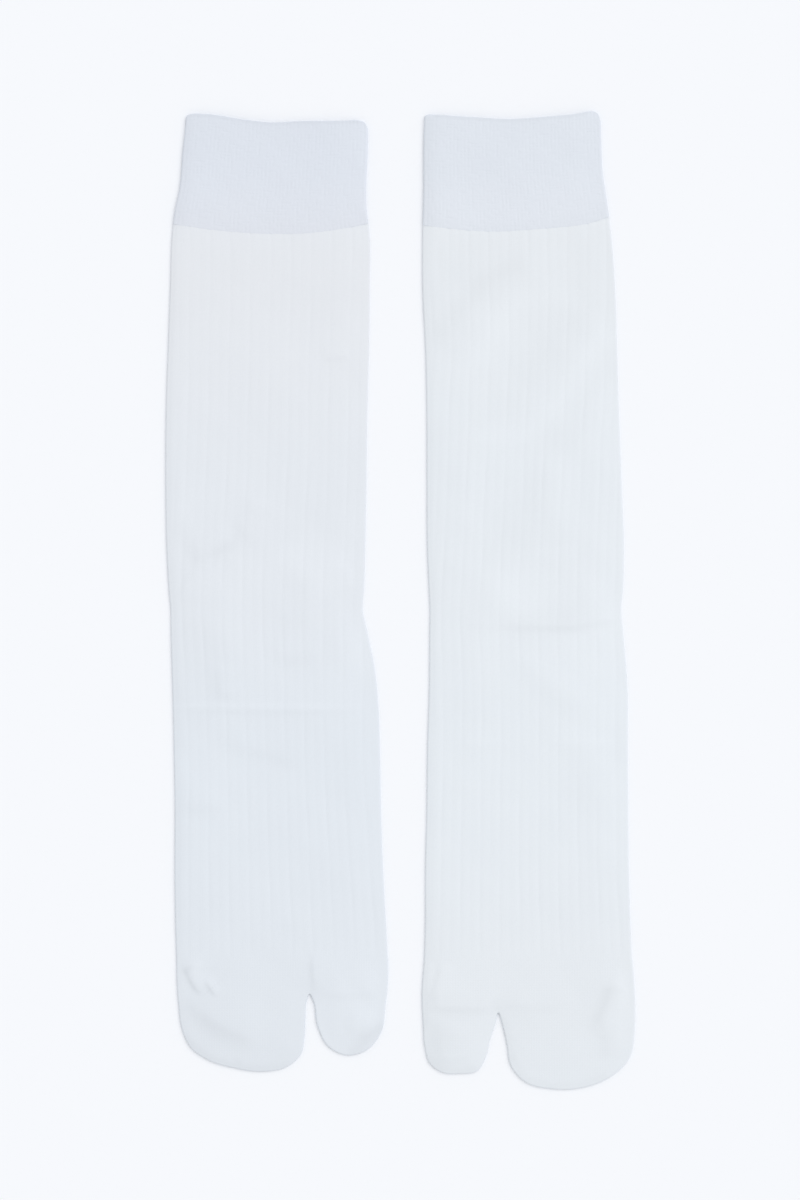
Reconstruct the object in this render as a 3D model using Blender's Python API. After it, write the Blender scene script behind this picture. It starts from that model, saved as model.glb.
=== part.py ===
"""A pair of white tabi socks, laid flat side by side with the instep up.

Each sock is knitted in four pieces, and each piece is one closed solid:
  cuff   the double elastic band, open at the mouth
  leg    the ribbed tube from the cuff to the toes, open at both ends
  heel   the heel pouch, folded flat under the sole, its two layers one solid
  toes   the plain pocket, split between the big toe and the other four

The frame is the pair's own: +X to the right, +Y towards the cuffs, +Z up, and the
socks lie on z = 0. Tables and constants are in millimetres.
"""

import math

import bmesh
import bpy
import numpy as np
from mathutils.geometry import delaunay_2d_cdt

MM = 0.001
PAIR = "pair_of_tabi_socks"

# ---- cloth ----
WALL = 1.0  # ribbed and plain knit, one thickness
CUFF_WALL = 1.45  # the cuff is knitted double
FOLD_RADIUS = 1.5  # outside of the soft fold down each side
CUFF_RADIUS = 1.75
FLAT_HEIGHT = 2.75  # of the upper sheet over the floor, away from the sides, in a groove
CUFF_HEIGHT = 3.2
DEEPEST = -0.55  # the upper sheet sinks no further, so that it stays off the lower one
SOFTEN = 7.0  # the folds fade out over this width beside a side fold
RIB_RISE = 0.4  # a rib over its grooves
GROOVE_HALF = 1.1  # from the middle of a groove to the rib beside it
RIB_FADE = 3.0  # the ribs die away over this width beside a side fold
RIB_END = 6.0  # and over this length above the toes
SEAM_GAP = 0.3  # between neighbouring pieces

# ---- heel pouch ----
LAYER = 0.9  # one of its two layers
HEEL_RIM = 0.35  # how far the rounded rim of a layer draws in
HEEL_GROOVE = 0.45  # depth of the line between the layers
HEEL_CORNER = 9.0
CORNER_POINTS = 6
LIFT = 2 * LAYER + SEAM_GAP  # the sole passes over the pouch
LIFT_SIDE = 8.0  # the sole comes down beside the pouch over this width
LIFT_CLEAR = 2.0  # it starts to come down this far past the pouch's ends
LIFT_RAMP = 7.0  # and reaches the floor over this length

# ---- mesh ----
ROW_STEP = 9.0  # rows along the leg
CUFF_ROWS = 6
LIP = 0.5  # rounding of the mouth's edge
FLOOR_COLUMNS = 10
ARC = (-0.25, 0.0, 0.25)  # points round a side fold, in half turns from its outermost line
SEAM_EASE = 30.0  # the cuff seam's curve has died away this far down the leg
COLUMN_ORDER = 0.25  # least distance between two columns beside a side fold
TOE_STEP = 5.0  # along the toes' outline
TOE_GRID = 6.5  # over the toes' faces
SHARP = 50.0  # degrees between two faces that meet in an edge

LEFT = {
    # down the sock: y, the left side and the right side
    "sides": (
        (213.0, -92.6, -15.5), (209.5, -93.5, -14.5), (197.0, -95.1, -13.8), (180.0, -96.6, -14.5),
        (171.0, -98.5, -14.3), (162.0, -99.6, -13.2), (136.0, -100.6, -13.0), (109.0, -101.6, -13.3),
        (83.0, -102.4, -14.0), (48.0, -102.6, -14.5), (21.0, -102.1, -15.0), (4.0, -101.2, -15.5),
        (-5.0, -100.4, -16.1), (-14.0, -100.3, -14.2), (-32.0, -99.8, -10.6), (-49.0, -99.3, -9.1),
        (-67.0, -98.9, -8.5), (-93.0, -98.5, -8.0), (-120.0, -98.6, -7.1), (-146.0, -98.2, -5.7),
        (-159.0, -97.8, -5.0),
    ),
    # the open edge at the mouth, and the cuff's lower edge: x, y
    "mouth": ((-92.4, 212.6), (-81.0, 212.6), (-68.0, 210.5), (-56.0, 209.4), (-35.0, 209.9), (-15.5, 209.4)),
    "cuff_seam": (
        (-99.4, 164.5), (-84.0, 162.2), (-58.0, 160.2), (-40.0, 160.5), (-22.0, 163.0), (-13.0, 165.0),
    ),
    # round the toes from the little toe's side to the big toe's: x, y
    "toes": (
        (-97.8, -159.0), (-97.7, -168.0), (-96.9, -179.0), (-95.5, -189.1), (-91.7, -197.4),
        (-83.1, -203.4), (-73.0, -206.4), (-60.5, -208.1), (-49.4, -206.0), (-43.2, -200.4),
        (-41.6, -192.5), (-41.3, -184.0), (-40.7, -177.0), (-39.4, -173.9), (-37.8, -176.9),
        (-36.0, -187.6), (-31.2, -197.0), (-23.0, -200.9), (-14.2, -198.6), (-8.0, -190.9),
        (-6.0, -179.0), (-4.9, -168.0), (-4.8, -159.0),
    ),
    # the groove nearest the little toe's side, and the ribs' pitch: y, x, pitch
    "grooves": (
        (145.0, -91.5, 8.8),
        (90.0, -92.2, 8.75),
        (59.0, -93.1, 8.8),
        (21.0, -94.9, 8.85),
        (-27.0, -93.8, 8.6),
        (-69.0, -93.3, 8.6),
        (-106.0, -93.1, 8.75),
        (-139.0, -92.9, 8.85),
    ),
    "first_groove": 0,
    "last_groove": 9,
    # the heel pouch: where it joins the sole, its fold towards the toes, and its widths there
    "heel": {"x": -57.5, "base": -6.0, "tip": -44.0, "base_width": 64.0, "tip_width": 46.0},
    # soft folds of the upper sheet: from x, y to x, y, half width, rise (a trough is negative)
    "folds": (
        (-44.0, 14.0, -44.0, 10.0, 11.0, 0.6),
        (-86.0, 23.0, -72.0, 28.0, 6.0, 0.5),
        (-62.0, 44.0, -66.0, 34.0, 7.0, 0.3),
        (-56.0, -24.5, -36.0, -23.0, 5.5, 0.3),
        (-78.0, -61.5, -42.0, -72.0, 6.0, 0.4),
        (-96.0, -90.0, -80.0, -90.0, 7.0, 0.4),
        (-66.0, -170.0, -66.0, -170.0, 10.0, 0.3),
        (-88.0, -179.0, -62.0, -193.5, 9.0, 0.8),
        (-28.0, -173.0, -14.0, -172.5, 5.5, 0.35),
    ),
}
RIGHT = {
    "sides": (
        (214.0, 11.7, 86.6), (210.0, 11.2, 88.1), (197.0, 10.8, 89.0), (180.0, 10.8, 90.6),
        (162.0, 10.4, 93.0), (136.0, 10.4, 94.9), (109.0, 11.7, 95.8), (83.0, 12.2, 96.6),
        (48.0, 12.3, 97.9), (21.0, 12.5, 98.8), (4.0, 13.2, 98.4), (-5.0, 13.6, 97.6),
        (-14.0, 13.5, 98.4), (-40.0, 13.3, 100.4), (-67.0, 12.5, 100.5), (-93.0, 12.2, 100.7),
        (-120.0, 11.6, 101.0), (-146.0, 11.5, 101.8), (-159.0, 11.1, 102.3),
    ),
    "mouth": (
        (11.9, 212.1), (33.0, 211.4), (48.5, 210.6), (62.0, 211.2), (75.0, 212.6), (86.7, 214.0),
    ),
    "cuff_seam": (
        (10.7, 164.0), (22.0, 162.5), (44.0, 161.2), (57.0, 162.0), (70.0, 163.0), (81.0, 164.3),
        (93.3, 168.0),
    ),
    "toes": (
        (102.6, -159.0), (103.4, -169.0), (103.8, -179.0), (103.6, -190.0), (101.4, -202.1),
        (92.8, -210.5), (80.0, -215.3), (67.0, -215.7), (55.4, -212.6), (49.2, -205.6),
        (47.4, -196.0), (45.6, -188.1), (43.6, -182.1), (42.1, -187.6), (40.0, -194.1),
        (38.0, -202.1), (34.1, -208.0), (27.0, -209.0), (19.4, -208.6), (13.6, -204.6),
        (11.3, -197.0), (10.6, -187.0), (10.1, -174.0), (11.1, -159.0),
    ),
    "grooves": (
        (145.0, 21.7, 8.5),
        (118.0, 23.1, 8.35),
        (90.0, 21.8, 8.45),
        (59.0, 20.1, 8.5),
        (21.0, 19.6, 8.5),
        (-40.0, 19.1, 8.45),
        (-84.0, 18.6, 8.5),
        (-120.0, 18.1, 8.6),
        (-146.0, 18.0, 8.75),
    ),
    "first_groove": -1,
    "last_groove": 9,
    "heel": {"x": 56.5, "base": -17.0, "tip": -59.0, "base_width": 66.0, "tip_width": 47.0},
    "folds": (
        (30.0, 124.0, 58.0, 145.0, 10.0, 0.7),
        (44.0, 73.0, 80.0, 112.0, 12.0, 0.8),
        (86.0, 130.0, 90.0, 148.0, 8.0, 0.4),
        (66.0, 57.0, 90.0, 90.0, 10.0, 0.5),
        (29.0, 36.0, 30.0, 58.0, 9.0, 0.5),
        (69.0, 30.0, 68.0, 50.0, 10.0, 0.5),
        (44.0, -2.0, 44.0, -2.0, 10.0, 0.6),
        (52.0, -10.6, 88.0, -9.8, 6.0, 0.6),
        (55.0, -27.0, 76.0, -43.0, 9.0, 0.3),
        (16.0, -178.5, 40.0, -179.0, 6.0, 0.5),
        (24.0, -190.0, 25.0, -202.0, 7.0, 0.5),
        (95.0, -171.0, 88.0, -186.0, 6.0, 0.8),
    ),
}
SOCKS = {"left": LEFT, "right": RIGHT}

COLOURS = {  # each piece's colour in linear RGB
    "cuff": (0.73, 0.78, 0.84),
    "leg": (0.78, 0.82, 0.87),
    "heel": (0.78, 0.82, 0.87),
    "toes": (0.75, 0.80, 0.86),
}


def smooth(points, at):
    """The curve through points, rows of (place, value) with the place rising, read at the places at."""
    place, value = np.array(points, float).T
    slope = np.gradient(value, place)
    i = np.clip(np.searchsorted(place, at) - 1, 0, len(place) - 2)
    span = place[i + 1] - place[i]
    t = np.clip((at - place[i]) / span, 0, 1)
    start = (1 + 2 * t) * (1 - t) ** 2 * value[i] + t * (1 - t) ** 2 * span * slope[i]
    end = t * t * (3 - 2 * t) * value[i + 1] + t * t * (t - 1) * span * slope[i + 1]
    return start + end


def ease(t):
    """A soft step from 0 to 1."""
    t = np.clip(t, 0, 1)
    return t * t * (3 - 2 * t)


def column(table, index, y):
    """One column of a table whose rows start with y, read at y."""
    return smooth(sorted((row[0], row[index]) for row in table), y)


def along(points, x):
    """The y at x of an edge that crosses the sock, given as (x, y) points."""
    return smooth(sorted(points), x)


def lift(sock, x, y):
    """How far the heel pouch raises the sole at x, y."""
    heel, sides = sock["heel"], sock["sides"]
    beside = np.minimum(x - column(sides, 1, y), column(sides, 2, y) - x) - FOLD_RADIUS
    above = ease((heel["base"] + LIFT_CLEAR + LIFT_RAMP - y) / LIFT_RAMP)
    below = ease((y - heel["tip"] + LIFT_CLEAR + LIFT_RAMP) / LIFT_RAMP)
    return LIFT * ease(beside / LIFT_SIDE) * above * below


def relief(sock, x, y):
    """The soft folds of the upper sheet at x, y."""
    total = 0.0
    for x0, y0, x1, y1, half_width, rise in sock["folds"]:
        length2 = max((x1 - x0) ** 2 + (y1 - y0) ** 2, 1e-9)
        t = np.clip(((x - x0) * (x1 - x0) + (y - y0) * (y1 - y0)) / length2, 0, 1)
        away2 = (x - x0 - t * (x1 - x0)) ** 2 + (y - y0 - t * (y1 - y0)) ** 2
        total = total + rise * np.exp(-away2 / half_width**2)
    return np.maximum(total, DEEPEST)


def upper(sock, x, y, beside, radius, height):
    """The plain upper face at x, y, which lies beside from the nearest fold's inner edge."""
    inward = ease(beside / SOFTEN)
    return lift(sock, x, y) + 2 * radius + (height - 2 * radius + relief(sock, x, y)) * inward


def add_object(name, vertices, faces, colour):
    """A mesh object in the pair's collection, from millimetres, with its own knitted material."""
    mesh = bpy.data.meshes.new(name)
    built = bmesh.new()
    points = [built.verts.new([c * MM for c in v]) for v in vertices]
    for face in faces:
        built.faces.new([points[i] for i in face])
    bmesh.ops.recalc_face_normals(built, faces=built.faces)
    built.to_mesh(mesh)
    built.free()
    mesh.shade_smooth()
    mesh.set_sharp_from_angle(angle=math.radians(SHARP))
    knit = bpy.data.materials.new(name + "_knit")
    knit.use_nodes = True
    shader = knit.node_tree.nodes["Principled BSDF"]
    shader.inputs["Base Color"].default_value = (*colour, 1)
    shader.inputs["Roughness"].default_value = 0.85
    shader.inputs["Metallic"].default_value = 0
    mesh.materials.append(knit)
    thing = bpy.data.objects.new(name, mesh)
    bpy.data.collections[PAIR].objects.link(thing)


def rim(vertices, outer, inner):
    """Triangles between two loops of vertices that start beside each other, shorter diagonal first."""
    def apart(i, j):
        return math.dist(vertices[outer[i % len(outer)]], vertices[inner[j % len(inner)]])

    faces, i, j = [], 0, 0
    while i < len(outer) or j < len(inner):
        third = inner[j % len(inner)]
        if j == len(inner) or (i < len(outer) and apart(i + 1, j) <= apart(i, j + 1)):
            faces.append((outer[i], outer[(i + 1) % len(outer)], third))
            i += 1
        else:
            faces.append((outer[i % len(outer)], inner[(j + 1) % len(inner)], third))
            j += 1
    return faces


def tube(outer, inner):
    """Vertices and faces of a wall between rows of outer rings and rows of inner ones, open at its ends."""
    vertices, faces, ends = [], [], []
    for rings in (outer, inner):
        first, count = len(vertices), len(rings[0])
        vertices += [v for ring in rings for v in ring]
        for row in range(len(rings) - 1):
            a = first + row * count
            for i in range(count):
                j = (i + 1) % count
                faces.append((a + i, a + j, a + count + j, a + count + i))
        loops = [range(start, start + count) for start in (first, len(vertices) - count)]
        ends.append(loops)
    for outer_loop, inner_loop in zip(*ends):
        faces += rim(vertices, outer_loop, inner_loop)
    return vertices, faces


def sides_on(sock, y_of):
    """The left and right sides of the tube where the line y_of(x) meets them."""
    sides = sock["sides"]
    return [column(sides, i, y_of(column(sides, i, y_of(0)))) for i in (1, 2)]


def ring(sock, y_of, columns, radius, height, inward):
    """One ring round the tube along the line y_of(x): floor, right fold, upper sheet, left fold.

    columns holds (x, rise) across the upper sheet, and inward is the ring's depth under the outer face.
    """
    left, right = sides_on(sock, y_of)
    small = radius - inward
    points = []
    for x in np.linspace(left + radius, right - radius, FLOOR_COLUMNS):
        points.append((x, y_of(x), lift(sock, x, y_of(x)) + inward))
    for turn in ARC:
        x = right - radius + small * math.cos(math.pi * turn)
        points.append((x, y_of(x), radius + small * math.sin(math.pi * turn)))
    for x, rise in reversed(columns):
        beside = min(x - left, right - x) - radius
        z = upper(sock, x, y_of(x), beside, radius, height)
        points.append((x, y_of(x), z - inward + rise * ease(beside / RIB_FADE)))
    for turn in reversed(ARC):
        x = left + radius - small * math.cos(math.pi * turn)
        points.append((x, y_of(x), radius + small * math.sin(math.pi * turn)))
    return points


def toe_seam(sock):
    """The y where the ribbed tube ends and the plain toes begin."""
    return sock["toes"][0][1]


def plain_columns(sock, y_of, radius):
    """(x, rise) of evenly spaced columns across the upper sheet, with no ribs."""
    left, right = sides_on(sock, y_of)
    return [(x, 0.0) for x in np.linspace(left + radius, right - radius, FLOOR_COLUMNS)]


def rib_columns(sock, y_of):
    """(x, rise) across the upper sheet: both sides and the middle of each groove."""
    left, right = sides_on(sock, y_of)
    left, right = left + FOLD_RADIUS, right - FOLD_RADIUS
    y = y_of((left + right) / 2)
    first, pitch = (column(sock["grooves"], i, y) for i in (1, 2))
    rib = RIB_RISE * ease((y - toe_seam(sock)) / RIB_END)
    wanted = []
    for number in range(sock["first_groove"], sock["last_groove"] + 1):
        middle = first + number * pitch
        wanted += [(middle - GROOVE_HALF, rib), (middle, 0.0), (middle + GROOVE_HALF, rib)]
    columns = [(left, 0.0)]
    for i, (x, rise) in enumerate(wanted, 1):
        low = left + COLUMN_ORDER * i
        high = right - COLUMN_ORDER * (len(wanted) + 1 - i)
        columns.append((min(max(x, low), high), rise))
    return [*columns, (right, 0.0)]


def cuff(sock):
    """The cuff: a plain double band with a rounded lip at the mouth."""
    def line(part, short=0.0):
        def y_of(x):
            seam, mouth = along(sock["cuff_seam"], x), along(sock["mouth"], x)
            return seam + part * (mouth - seam) - short
        return y_of

    lines = [(line(part), 0.0) for part in np.linspace(0, 1, CUFF_ROWS)[:-1]]
    lines += [(line(1, LIP), 0.0), (line(1), LIP)]
    outer, inner = [], []
    for y_of, lip in lines:
        columns = plain_columns(sock, y_of, CUFF_RADIUS)
        outer.append(ring(sock, y_of, columns, CUFF_RADIUS, CUFF_HEIGHT, lip))
        inner.append(ring(sock, y_of, columns, CUFF_RADIUS, CUFF_HEIGHT, CUFF_WALL - lip))
    return tube(outer, inner)


def leg(sock):
    """The ribbed tube of the leg and foot, which passes over the heel pouch."""
    top = max(y for x, y in sock["cuff_seam"]) - SEAM_GAP
    heel, bottom = sock["heel"], toe_seam(sock) + SEAM_GAP
    stops = [
        top,
        heel["base"] + LIFT_CLEAR + LIFT_RAMP,
        heel["base"] + LIFT_CLEAR,
        heel["tip"] - LIFT_CLEAR,
        heel["tip"] - LIFT_CLEAR - LIFT_RAMP,
        bottom,
    ]
    rows = [top]
    for a, b in zip(stops[:-1], stops[1:]):
        rows += list(np.linspace(a, b, math.ceil((a - b) / ROW_STEP) + 1)[1:])
    outer, inner = [], []
    for y in rows:
        def y_of(x, y=y):
            dip = top + SEAM_GAP - along(sock["cuff_seam"], x)
            return y - dip * ease(1 - (top - y) / SEAM_EASE)

        outer.append(ring(sock, y_of, rib_columns(sock, y_of), FOLD_RADIUS, FLAT_HEIGHT, 0.0))
        columns = plain_columns(sock, y_of, FOLD_RADIUS)
        inner.append(ring(sock, y_of, columns, FOLD_RADIUS, FLAT_HEIGHT, WALL))
    return tube(outer, inner)


def inset(line, depth, closed=False):
    """A counter-clockwise line moved inward by depth. The ends of an open one move straight across."""
    if closed:
        way = np.roll(line, -1, axis=0) - np.roll(line, 1, axis=0)
    else:
        way = np.gradient(line, axis=0)
        way[0], way[-1] = (0, -1), (0, 1)
    way /= np.hypot(*way.T)[:, None]
    return line + depth * np.column_stack([-way[:, 1], way[:, 0]])


def toe_outline(points):
    """The smooth curve through the outline of the toes, from the left side round to the right."""
    points = np.array(points if points[0][0] < points[-1][0] else points[::-1])
    length = np.concatenate([[0], np.cumsum(np.hypot(*np.diff(points, axis=0).T))])
    at = [0.0]
    for a, b in zip(length[:-1], length[1:]):
        at += list(np.linspace(a, b, max(1, round((b - a) / TOE_STEP)) + 1)[1:])
    return np.column_stack([smooth(np.column_stack([length, points[:, i]]), at) for i in (0, 1)])


def distance(line, points):
    """The distance of each point from a line of points."""
    start, way = line[:-1], np.diff(line, axis=0)
    away = points[:, None] - start
    t = np.clip((away * way).sum(2) / (way * way).sum(1), 0, 1)
    return np.hypot(*(away - t[:, :, None] * way).T).min(axis=0)


def inside(line, points):
    """Which points lie inside a closed line."""
    x, y = points.T[:, :, None]
    (x0, y0), (x1, y1) = line.T, np.roll(line, -1, axis=0).T
    crossed = (y0 > y) != (y1 > y)
    reach = x0 + (y - y0) * (x1 - x0) / np.where(y1 == y0, 1, y1 - y0)
    return (crossed & (x < reach)).sum(1) % 2 == 1


def fill(line):
    """Points and triangles that fill a closed line, with a grid of points inside it."""
    low, high = line.min(axis=0), line.max(axis=0)
    grid = np.stack(np.meshgrid(*(np.arange(a + TOE_GRID / 2, b, TOE_GRID) for a, b in zip(low, high))), -1)
    grid = grid.reshape(-1, 2)
    loop = np.vstack([line, line[:1]])
    grid = grid[inside(line, grid) & (distance(loop, grid) > TOE_GRID / 2)]
    points = [tuple(p) for p in np.vstack([line, grid])]
    found = delaunay_2d_cdt(points, [], [list(range(len(line)))], 1, 1e-6)
    return np.array([tuple(p) for p in found[0]]), found[2]


def toes(sock):
    """The plain pocket of the toes, split between the big toe and the next, open towards the leg."""
    line = toe_outline(sock["toes"])
    count = len(line)
    across = np.linspace(line[-1][0] - FOLD_RADIUS, line[0][0] + FOLD_RADIUS, FLOOR_COLUMNS)[1:-1]
    seam = [(x, toe_seam(sock)) for x in across]
    face, triangles = fill(np.vstack([inset(line, FOLD_RADIUS), seam]))
    beside = distance(line, face) - FOLD_RADIUS
    top = upper(sock, face[:, 0], face[:, 1], beside, FOLD_RADIUS, FLAT_HEIGHT)
    vertices, faces, ends = [], [], []

    def add(points, z):
        first = len(vertices)
        vertices.extend(np.column_stack([points, np.broadcast_to(z, len(points))]).tolist())
        return list(range(first, len(vertices)))

    for inward, turns in ((0.0, (0.25,)), (WALL, ())):
        small = FOLD_RADIUS - inward
        middle = add(inset(line, inward), FOLD_RADIUS)
        end = [middle[0]]
        for way in (1, -1):
            strips = [middle]
            for turn in turns:
                depth = FOLD_RADIUS - small * math.cos(math.pi * turn)
                z = FOLD_RADIUS + way * small * math.sin(math.pi * turn)
                strips.append(add(inset(line, depth), z))
            sheet = add(face, top - inward if way == 1 else inward)
            strips.append(sheet)
            faces += [[sheet[i] for i in triangle] for triangle in triangles]
            for a, b in zip(strips[:-1], strips[1:]):
                faces += [(a[i], a[i + 1], b[i + 1], b[i]) for i in range(count - 1)]
            crossing = sheet[count : count + len(seam)]
            lead, back = [s[0] for s in strips[1:]], [s[count - 1] for s in strips[1:]]
            if way == 1:
                end += lead + crossing[::-1] + back[::-1] + [middle[-1]]
            else:
                end += back + crossing + lead[::-1]
        ends.append(end)
    faces += rim(vertices, *ends)
    return vertices, faces


def heel(sock):
    """The folded heel pouch: two layers with rounded rims and a line between them, as one solid."""
    size = sock["heel"]
    corners = [(size["x"] - size[end + "_width"] / 2, size[end]) for end in ("base", "tip")]
    corners += [(2 * size["x"] - x, y) for x, y in reversed(corners)]
    corners, line = np.array(corners), []
    for before, corner, after in zip(np.roll(corners, 1, axis=0), corners, np.roll(corners, -1, axis=0)):
        start = corner + HEEL_CORNER * (before - corner) / math.dist(before, corner)
        end = corner + HEEL_CORNER * (after - corner) / math.dist(after, corner)
        for t in np.linspace(0, 1, CORNER_POINTS):
            line.append((1 - t) ** 2 * start + 2 * t * (1 - t) * corner + t * t * end)
    line = np.array(line)
    profile = [  # height and draw-in of each ring
        (0.0, HEEL_RIM),
        (LAYER / 2, 0.0),
        (LAYER, HEEL_GROOVE),
        (LAYER * 3 / 2, 0.0),
        (LAYER * 2, HEEL_RIM),
    ]
    count, vertices, faces = len(line), [], []
    for row, (z, depth) in enumerate(profile):
        vertices += [(x, y, z) for x, y in inset(line, depth, closed=True)]
        if row:
            a = (row - 1) * count
            for i in range(count):
                j = (i + 1) % count
                faces.append((a + i, a + j, a + count + j, a + count + i))
    faces += [range(count), range(len(vertices) - count, len(vertices))]
    return vertices, faces


def main():
    for thing in list(bpy.data.objects):
        bpy.data.objects.remove(thing)
    bpy.context.scene.collection.children.link(bpy.data.collections.new(PAIR))
    for name, sock in SOCKS.items():
        for piece, make in (("cuff", cuff), ("leg", leg), ("heel", heel), ("toes", toes)):
            add_object(f"{name}_{piece}", *make(sock), COLOURS[piece])


main()
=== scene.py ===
# %% [markdown]
# # A pair of white tabi socks, laid flat
# A tabi is the split-toed sock that is worn with thonged sandals. This long pair is machine-knitted: an
# elastic cuff, a wide-ribbed tube for the leg and the foot, a heel pouch and a plain pocket for the
# toes. The pair lies side by side on a pale table, soles down, and each heel pouch is folded flat under
# its sole. The cloth is built here as thin closed shells on the form of the solid model, whose walls
# are thicker. All lengths are in millimetres until a mesh is made. +Y points to the cuffs, +X to the
# right and +Z up.

import math

import bpy
import numpy as np
from mathutils.geometry import delaunay_2d_cdt
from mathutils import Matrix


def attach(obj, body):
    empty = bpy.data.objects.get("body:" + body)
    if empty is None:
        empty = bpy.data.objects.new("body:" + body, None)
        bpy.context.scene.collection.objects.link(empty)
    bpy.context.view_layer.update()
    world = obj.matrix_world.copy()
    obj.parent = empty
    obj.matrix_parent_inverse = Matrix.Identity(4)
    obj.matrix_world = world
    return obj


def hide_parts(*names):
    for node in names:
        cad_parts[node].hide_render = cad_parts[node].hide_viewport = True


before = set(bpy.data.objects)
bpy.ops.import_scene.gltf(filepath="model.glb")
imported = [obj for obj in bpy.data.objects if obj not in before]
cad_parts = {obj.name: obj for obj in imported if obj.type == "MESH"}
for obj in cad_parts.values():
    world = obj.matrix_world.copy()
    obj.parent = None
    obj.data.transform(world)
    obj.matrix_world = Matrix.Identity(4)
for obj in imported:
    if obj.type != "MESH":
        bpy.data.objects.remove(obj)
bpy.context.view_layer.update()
MM = 0.001
print("solids:", ", ".join(sorted(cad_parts)))

# %% [markdown]
# ## The camera
# The pair is seen from straight above, as a catalogue shows it. A long lens high over the table keeps
# the sides of the socks from leaning. A camera without perspective would show the same outlines, but a
# real lens leaves the little depth that tells the eye how thick the cloth is. The lens length follows
# from the height of the camera and from the length of table that it takes in.

# %% Put the camera over the pair
VIEW_MIDDLE = (0.4, -0.7)  # the point of the table under the camera
VIEW_LENGTH = 528.0  # of the table, from the top of the view to its bottom
CAMERA_HEIGHT = 1500.0
SENSOR = 36.0

camera_data = bpy.data.cameras.new("camera")
camera_data.sensor_fit = "VERTICAL"
camera_data.sensor_height = SENSOR
camera_data.lens = SENSOR * CAMERA_HEIGHT / VIEW_LENGTH
camera = bpy.data.objects.new("camera", camera_data)
camera.location = (VIEW_MIDDLE[0] * MM, VIEW_MIDDLE[1] * MM, CAMERA_HEIGHT * MM)
bpy.context.scene.collection.objects.link(camera)
bpy.context.scene.camera = camera
print(f"lens {camera_data.lens:.0f} mm")

# %% [markdown]
# ## The measured shape of each sock
# Two socks of one pair never lie alike, so each has its own tables: where its sides run, how its mouth
# and its cuff's lower edge curve, the outline of its toes, the line of its ribs, and its folds. A fold
# of cloth is seldom even: it rises gently on one side and drops steeply on the other, so each has a half
# width for either side of its path. Tables keep the shape in one place, and every function below reads
# them through the same smooth curve.

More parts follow.
